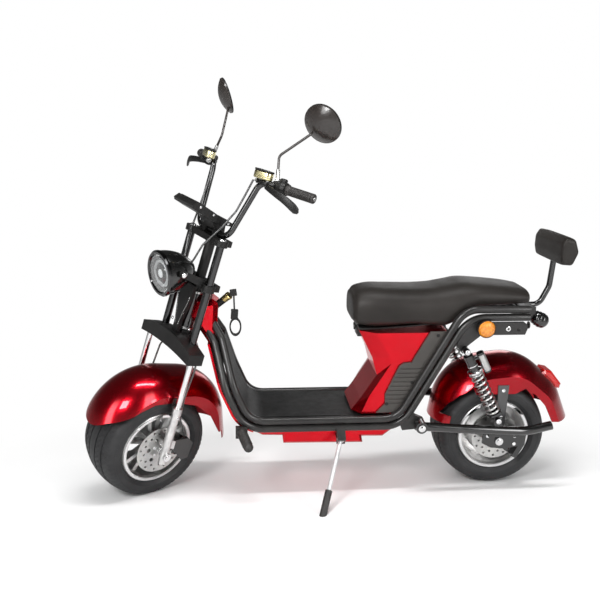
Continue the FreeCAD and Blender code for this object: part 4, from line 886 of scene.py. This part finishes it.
def make_wheel_trim():
    """Disc bolts, machined rings, motor cover bolts and valves."""
    for name, place, body, disc_sides in (("front", FRONT_WHEEL, "front_wheel", (1, -1)),
                                          ("rear", REAR_WHEEL, "rear_wheel", (1,))):
        shape = bmesh.new()
        for side in disc_sides:
            for step in range(5):
                angle = 2 * math.pi * step / 5
                bolt(shape, (25 * math.sin(angle), side * disc_face, 25 * math.cos(angle)), (0, side, 0), 3.6, 2.6)
        for side in SIDES:
            axis = aimed((0, 0, 0), (0, side, 0))
            lathe(shape, [(99.6, 128.5), (99.6, 139), (101, 138), (101, 129.5)], axis, 96, closed=True)
            if name == "rear":
                for radius in (68, 52):
                    lathe(shape, [(57.6, radius - 3), (60.2, radius - 2), (60.2, radius + 2), (57.6, radius + 3)],
                          axis, 72, closed=True)
                for step in range(8):
                    angle = 2 * math.pi * (step + 0.5) / 8
                    bolt(shape, (60 * math.sin(angle), side * 58, 60 * math.cos(angle)), (0, side, 0), 3.6, 3.2)
        lathe(shape, [(0, 3), (18, 3), (20, 4), (28, 4), (29, 2)], aimed((0, 62, 123), (0, 0.5, -1)), 16)
        piece(name + "_wheel_trim", shape, place, body, CHROME, (), sharp_angle=35)


# Camera, lamps and stage

camera_lens = 43.1
camera_from_rear_axle = (0.983, 2.7777, 0.7881)
camera_yaw = 4.8
camera_pitch = 5.6
camera_roll = -0.3


def make_camera():
    yaw, pitch, roll = (math.radians(v) for v in (camera_yaw, camera_pitch, camera_roll))
    look = Vector((-math.sin(yaw) * math.cos(pitch), -math.cos(yaw) * math.cos(pitch), -math.sin(pitch)))
    right = look.cross(Z_AXIS).normalized()
    up = right.cross(look)
    right, up = right * math.cos(roll) + up * math.sin(roll), up * math.cos(roll) - right * math.sin(roll)
    data = bpy.data.cameras.new("camera")
    data.lens = camera_lens
    data.sensor_width = 36.0
    data.sensor_fit = "HORIZONTAL"
    camera = bpy.data.objects.new("camera", data)
    place = Matrix((right, up, -look)).transposed().to_4x4()
    place.translation = Vector(joint("rear_wheel_spin")["pos_m"]) + Vector(camera_from_rear_axle)
    camera.matrix_world = place
    bpy.context.scene.collection.objects.link(camera)
    bpy.context.scene.camera = camera


# Lamps: name, place, target, width, height, power
lamp_table = [
    ("key", (1.5, 3.0, 2.3), (0.1, 0, 0.5), 0.9, 0.9, 66.0),
    ("fill", (-2.0, 2.8, 1.1), (0, 0, 0.5), 0.5, 1.4, 22.0),
    ("top", (0.0, 0.9, 3.4), (0, 0, 0.4), 1.8, 0.3, 56.0),
    ("back", (-1.2, -2.8, 1.6), (0, 0, 0.6), 1.6, 1.2, 12.0),
]
world_light = 0.54
mirrored_low = 0.34
mirrored_high = 0.05
# Upright soft strips that polished surfaces mirror: heading in degrees from ahead to the left
strip_headings = (48.0, 128.0)
strip_half = 6.0
strip_fade = 5.0
strip_light = 8.0


def make_lamps():
    for name, origin, target, width, height, power in lamp_table:
        data = bpy.data.lights.new(name, "AREA")
        data.shape = "RECTANGLE"
        data.size = width
        data.size_y = height
        data.energy = power
        lamp = bpy.data.objects.new(name, data)
        lamp.location = origin
        lamp.rotation_euler = (Vector(target) - Vector(origin)).to_track_quat("-Z", "Y").to_euler()
        bpy.context.scene.collection.objects.link(lamp)


def seen_directly(tree):
    """1 where the camera looks, also through glass, and 0 for the light that falls on things."""
    path = tree.nodes.new("ShaderNodeLightPath")
    most = tree.nodes.new("ShaderNodeMath")
    most.operation = "MAXIMUM"
    tree.links.new(path.outputs["Is Camera Ray"], most.inputs[0])
    tree.links.new(path.outputs["Is Transmission Ray"], most.inputs[1])
    return most.outputs[0], path


def blended(tree, share, low, high):
    """Mix of two strengths, either of them a number or a node's output."""
    mix = tree.nodes.new("ShaderNodeMix")
    tree.links.new(share, mix.inputs["Factor"])
    for socket, value in ((mix.inputs["A"], low), (mix.inputs["B"], high)):
        if isinstance(value, float):
            socket.default_value = value
        else:
            tree.links.new(value, socket)
    return mix.outputs["Result"]


def strip_mask(tree, split, heading):
    """1 inside an upright strip of the room at the given heading, and 0 beside, below and high above it."""
    level = tree.nodes.new("ShaderNodeCombineXYZ")
    tree.links.new(split.outputs["X"], level.inputs["X"])
    tree.links.new(split.outputs["Y"], level.inputs["Y"])
    unit = tree.nodes.new("ShaderNodeVectorMath")
    unit.operation = "NORMALIZE"
    tree.links.new(level.outputs[0], unit.inputs[0])
    facing = tree.nodes.new("ShaderNodeVectorMath")
    facing.operation = "DOT_PRODUCT"
    facing.inputs[1].default_value = (math.cos(math.radians(heading)), math.sin(math.radians(heading)), 0)
    tree.links.new(unit.outputs["Vector"], facing.inputs[0])
    masks = []
    for source, low, high in ((facing.outputs["Value"], math.cos(math.radians(strip_half + strip_fade)),
                               math.cos(math.radians(strip_half))),
                              (split.outputs["Z"], -0.12, 0.02), (split.outputs["Z"], 0.75, 0.45)):
        fade = tree.nodes.new("ShaderNodeMapRange")
        fade.interpolation_type = "SMOOTHSTEP"
        fade.inputs["From Min"].default_value = low
        fade.inputs["From Max"].default_value = high
        tree.links.new(source, fade.inputs["Value"])
        masks.append(fade.outputs["Result"])
    mask = masks[0]
    for other in masks[1:]:
        both = tree.nodes.new("ShaderNodeMath")
        both.operation = "MULTIPLY"
        tree.links.new(mask, both.inputs[0])
        tree.links.new(other, both.inputs[1])
        mask = both.outputs[0]
    return mask


def make_world():
    """White to the camera, even light on things, and in reflections a room that darkens upwards."""
    world = bpy.data.worlds.new("studio")
    world.use_nodes = True
    tree = world.node_tree
    background = tree.nodes["Background"]
    background.inputs["Color"].default_value = (1, 1, 1, 1)
    place = tree.nodes.new("ShaderNodeTexCoord")
    split = tree.nodes.new("ShaderNodeSeparateXYZ")
    tree.links.new(place.outputs["Generated"], split.inputs[0])
    ceiling = tree.nodes.new("ShaderNodeMapRange")
    ceiling.interpolation_type = "SMOOTHSTEP"
    ceiling.inputs["From Min"].default_value = -0.05
    ceiling.inputs["From Max"].default_value = 0.45
    ceiling.inputs["To Min"].default_value = mirrored_low
    ceiling.inputs["To Max"].default_value = mirrored_high
    tree.links.new(split.outputs["Z"], ceiling.inputs["Value"])
    direct, path = seen_directly(tree)
    room = ceiling.outputs["Result"]
    for heading in strip_headings:
        room = blended(tree, strip_mask(tree, split, heading), room, strip_light)
    fallen = blended(tree, path.outputs["Is Glossy Ray"], world_light, room)
    tree.links.new(blended(tree, direct, fallen, 1.0), background.inputs["Strength"])
    bpy.context.scene.world = world


# The floor keeps the shadow near the scooter and turns to plain white further out
floor_size = 30.0
floor_grey = 0.93
white_from = 0.9
white_full = 1.7


def make_floor():
    shape = bmesh.new()
    bmesh.ops.create_grid(shape, x_segments=1, y_segments=1, size=floor_size)
    mesh = bpy.data.meshes.new("floor")
    shape.to_mesh(mesh)
    shape.free()
    material, tree, base = shader("floor")
    base.inputs["Base Color"].default_value = (floor_grey, floor_grey, floor_grey, 1)
    base.inputs["Roughness"].default_value = 0.9
    base.inputs["Specular IOR Level"].default_value = 0.0
    glow = tree.nodes.new("ShaderNodeEmission")
    mix = tree.nodes.new("ShaderNodeMixShader")
    place = tree.nodes.new("ShaderNodeTexCoord")
    length = tree.nodes.new("ShaderNodeVectorMath")
    length.operation = "LENGTH"
    tree.links.new(place.outputs["Object"], length.inputs[0])
    fade = tree.nodes.new("ShaderNodeMapRange")
    fade.inputs["From Min"].default_value = white_from
    fade.inputs["From Max"].default_value = white_full
    fade.interpolation_type = "SMOOTHSTEP"
    tree.links.new(length.outputs["Value"], fade.inputs["Value"])
    both = tree.nodes.new("ShaderNodeMath")
    both.operation = "MULTIPLY"
    tree.links.new(fade.outputs["Result"], both.inputs[0])
    tree.links.new(seen_directly(tree)[0], both.inputs[1])
    tree.links.new(both.outputs[0], mix.inputs["Fac"])
    tree.links.new(base.outputs["BSDF"], mix.inputs[1])
    tree.links.new(glow.outputs["Emission"], mix.inputs[2])
    tree.links.new(mix.outputs["Shader"], tree.nodes["Material Output"].inputs["Surface"])
    mesh.materials.append(material)
    floor = bpy.data.objects.new("floor", mesh)
    bpy.context.scene.collection.objects.link(floor)


dress_nodes()
make_tyre("front_tyre", FRONT_WHEEL, "front_wheel")
make_tyre("rear_tyre", REAR_WHEEL, "rear_wheel")
make_seat()
make_backrest()
make_springs()
make_headlamp()
make_grips()
make_controls()
make_mirror_glass()
make_cockpit()
make_key()
make_chassis_trim()
make_tail_pods()
make_wheel_trim()
make_camera()
make_lamps()
make_world()
make_floor()
bpy.context.scene.view_settings.view_transform = "Standard"
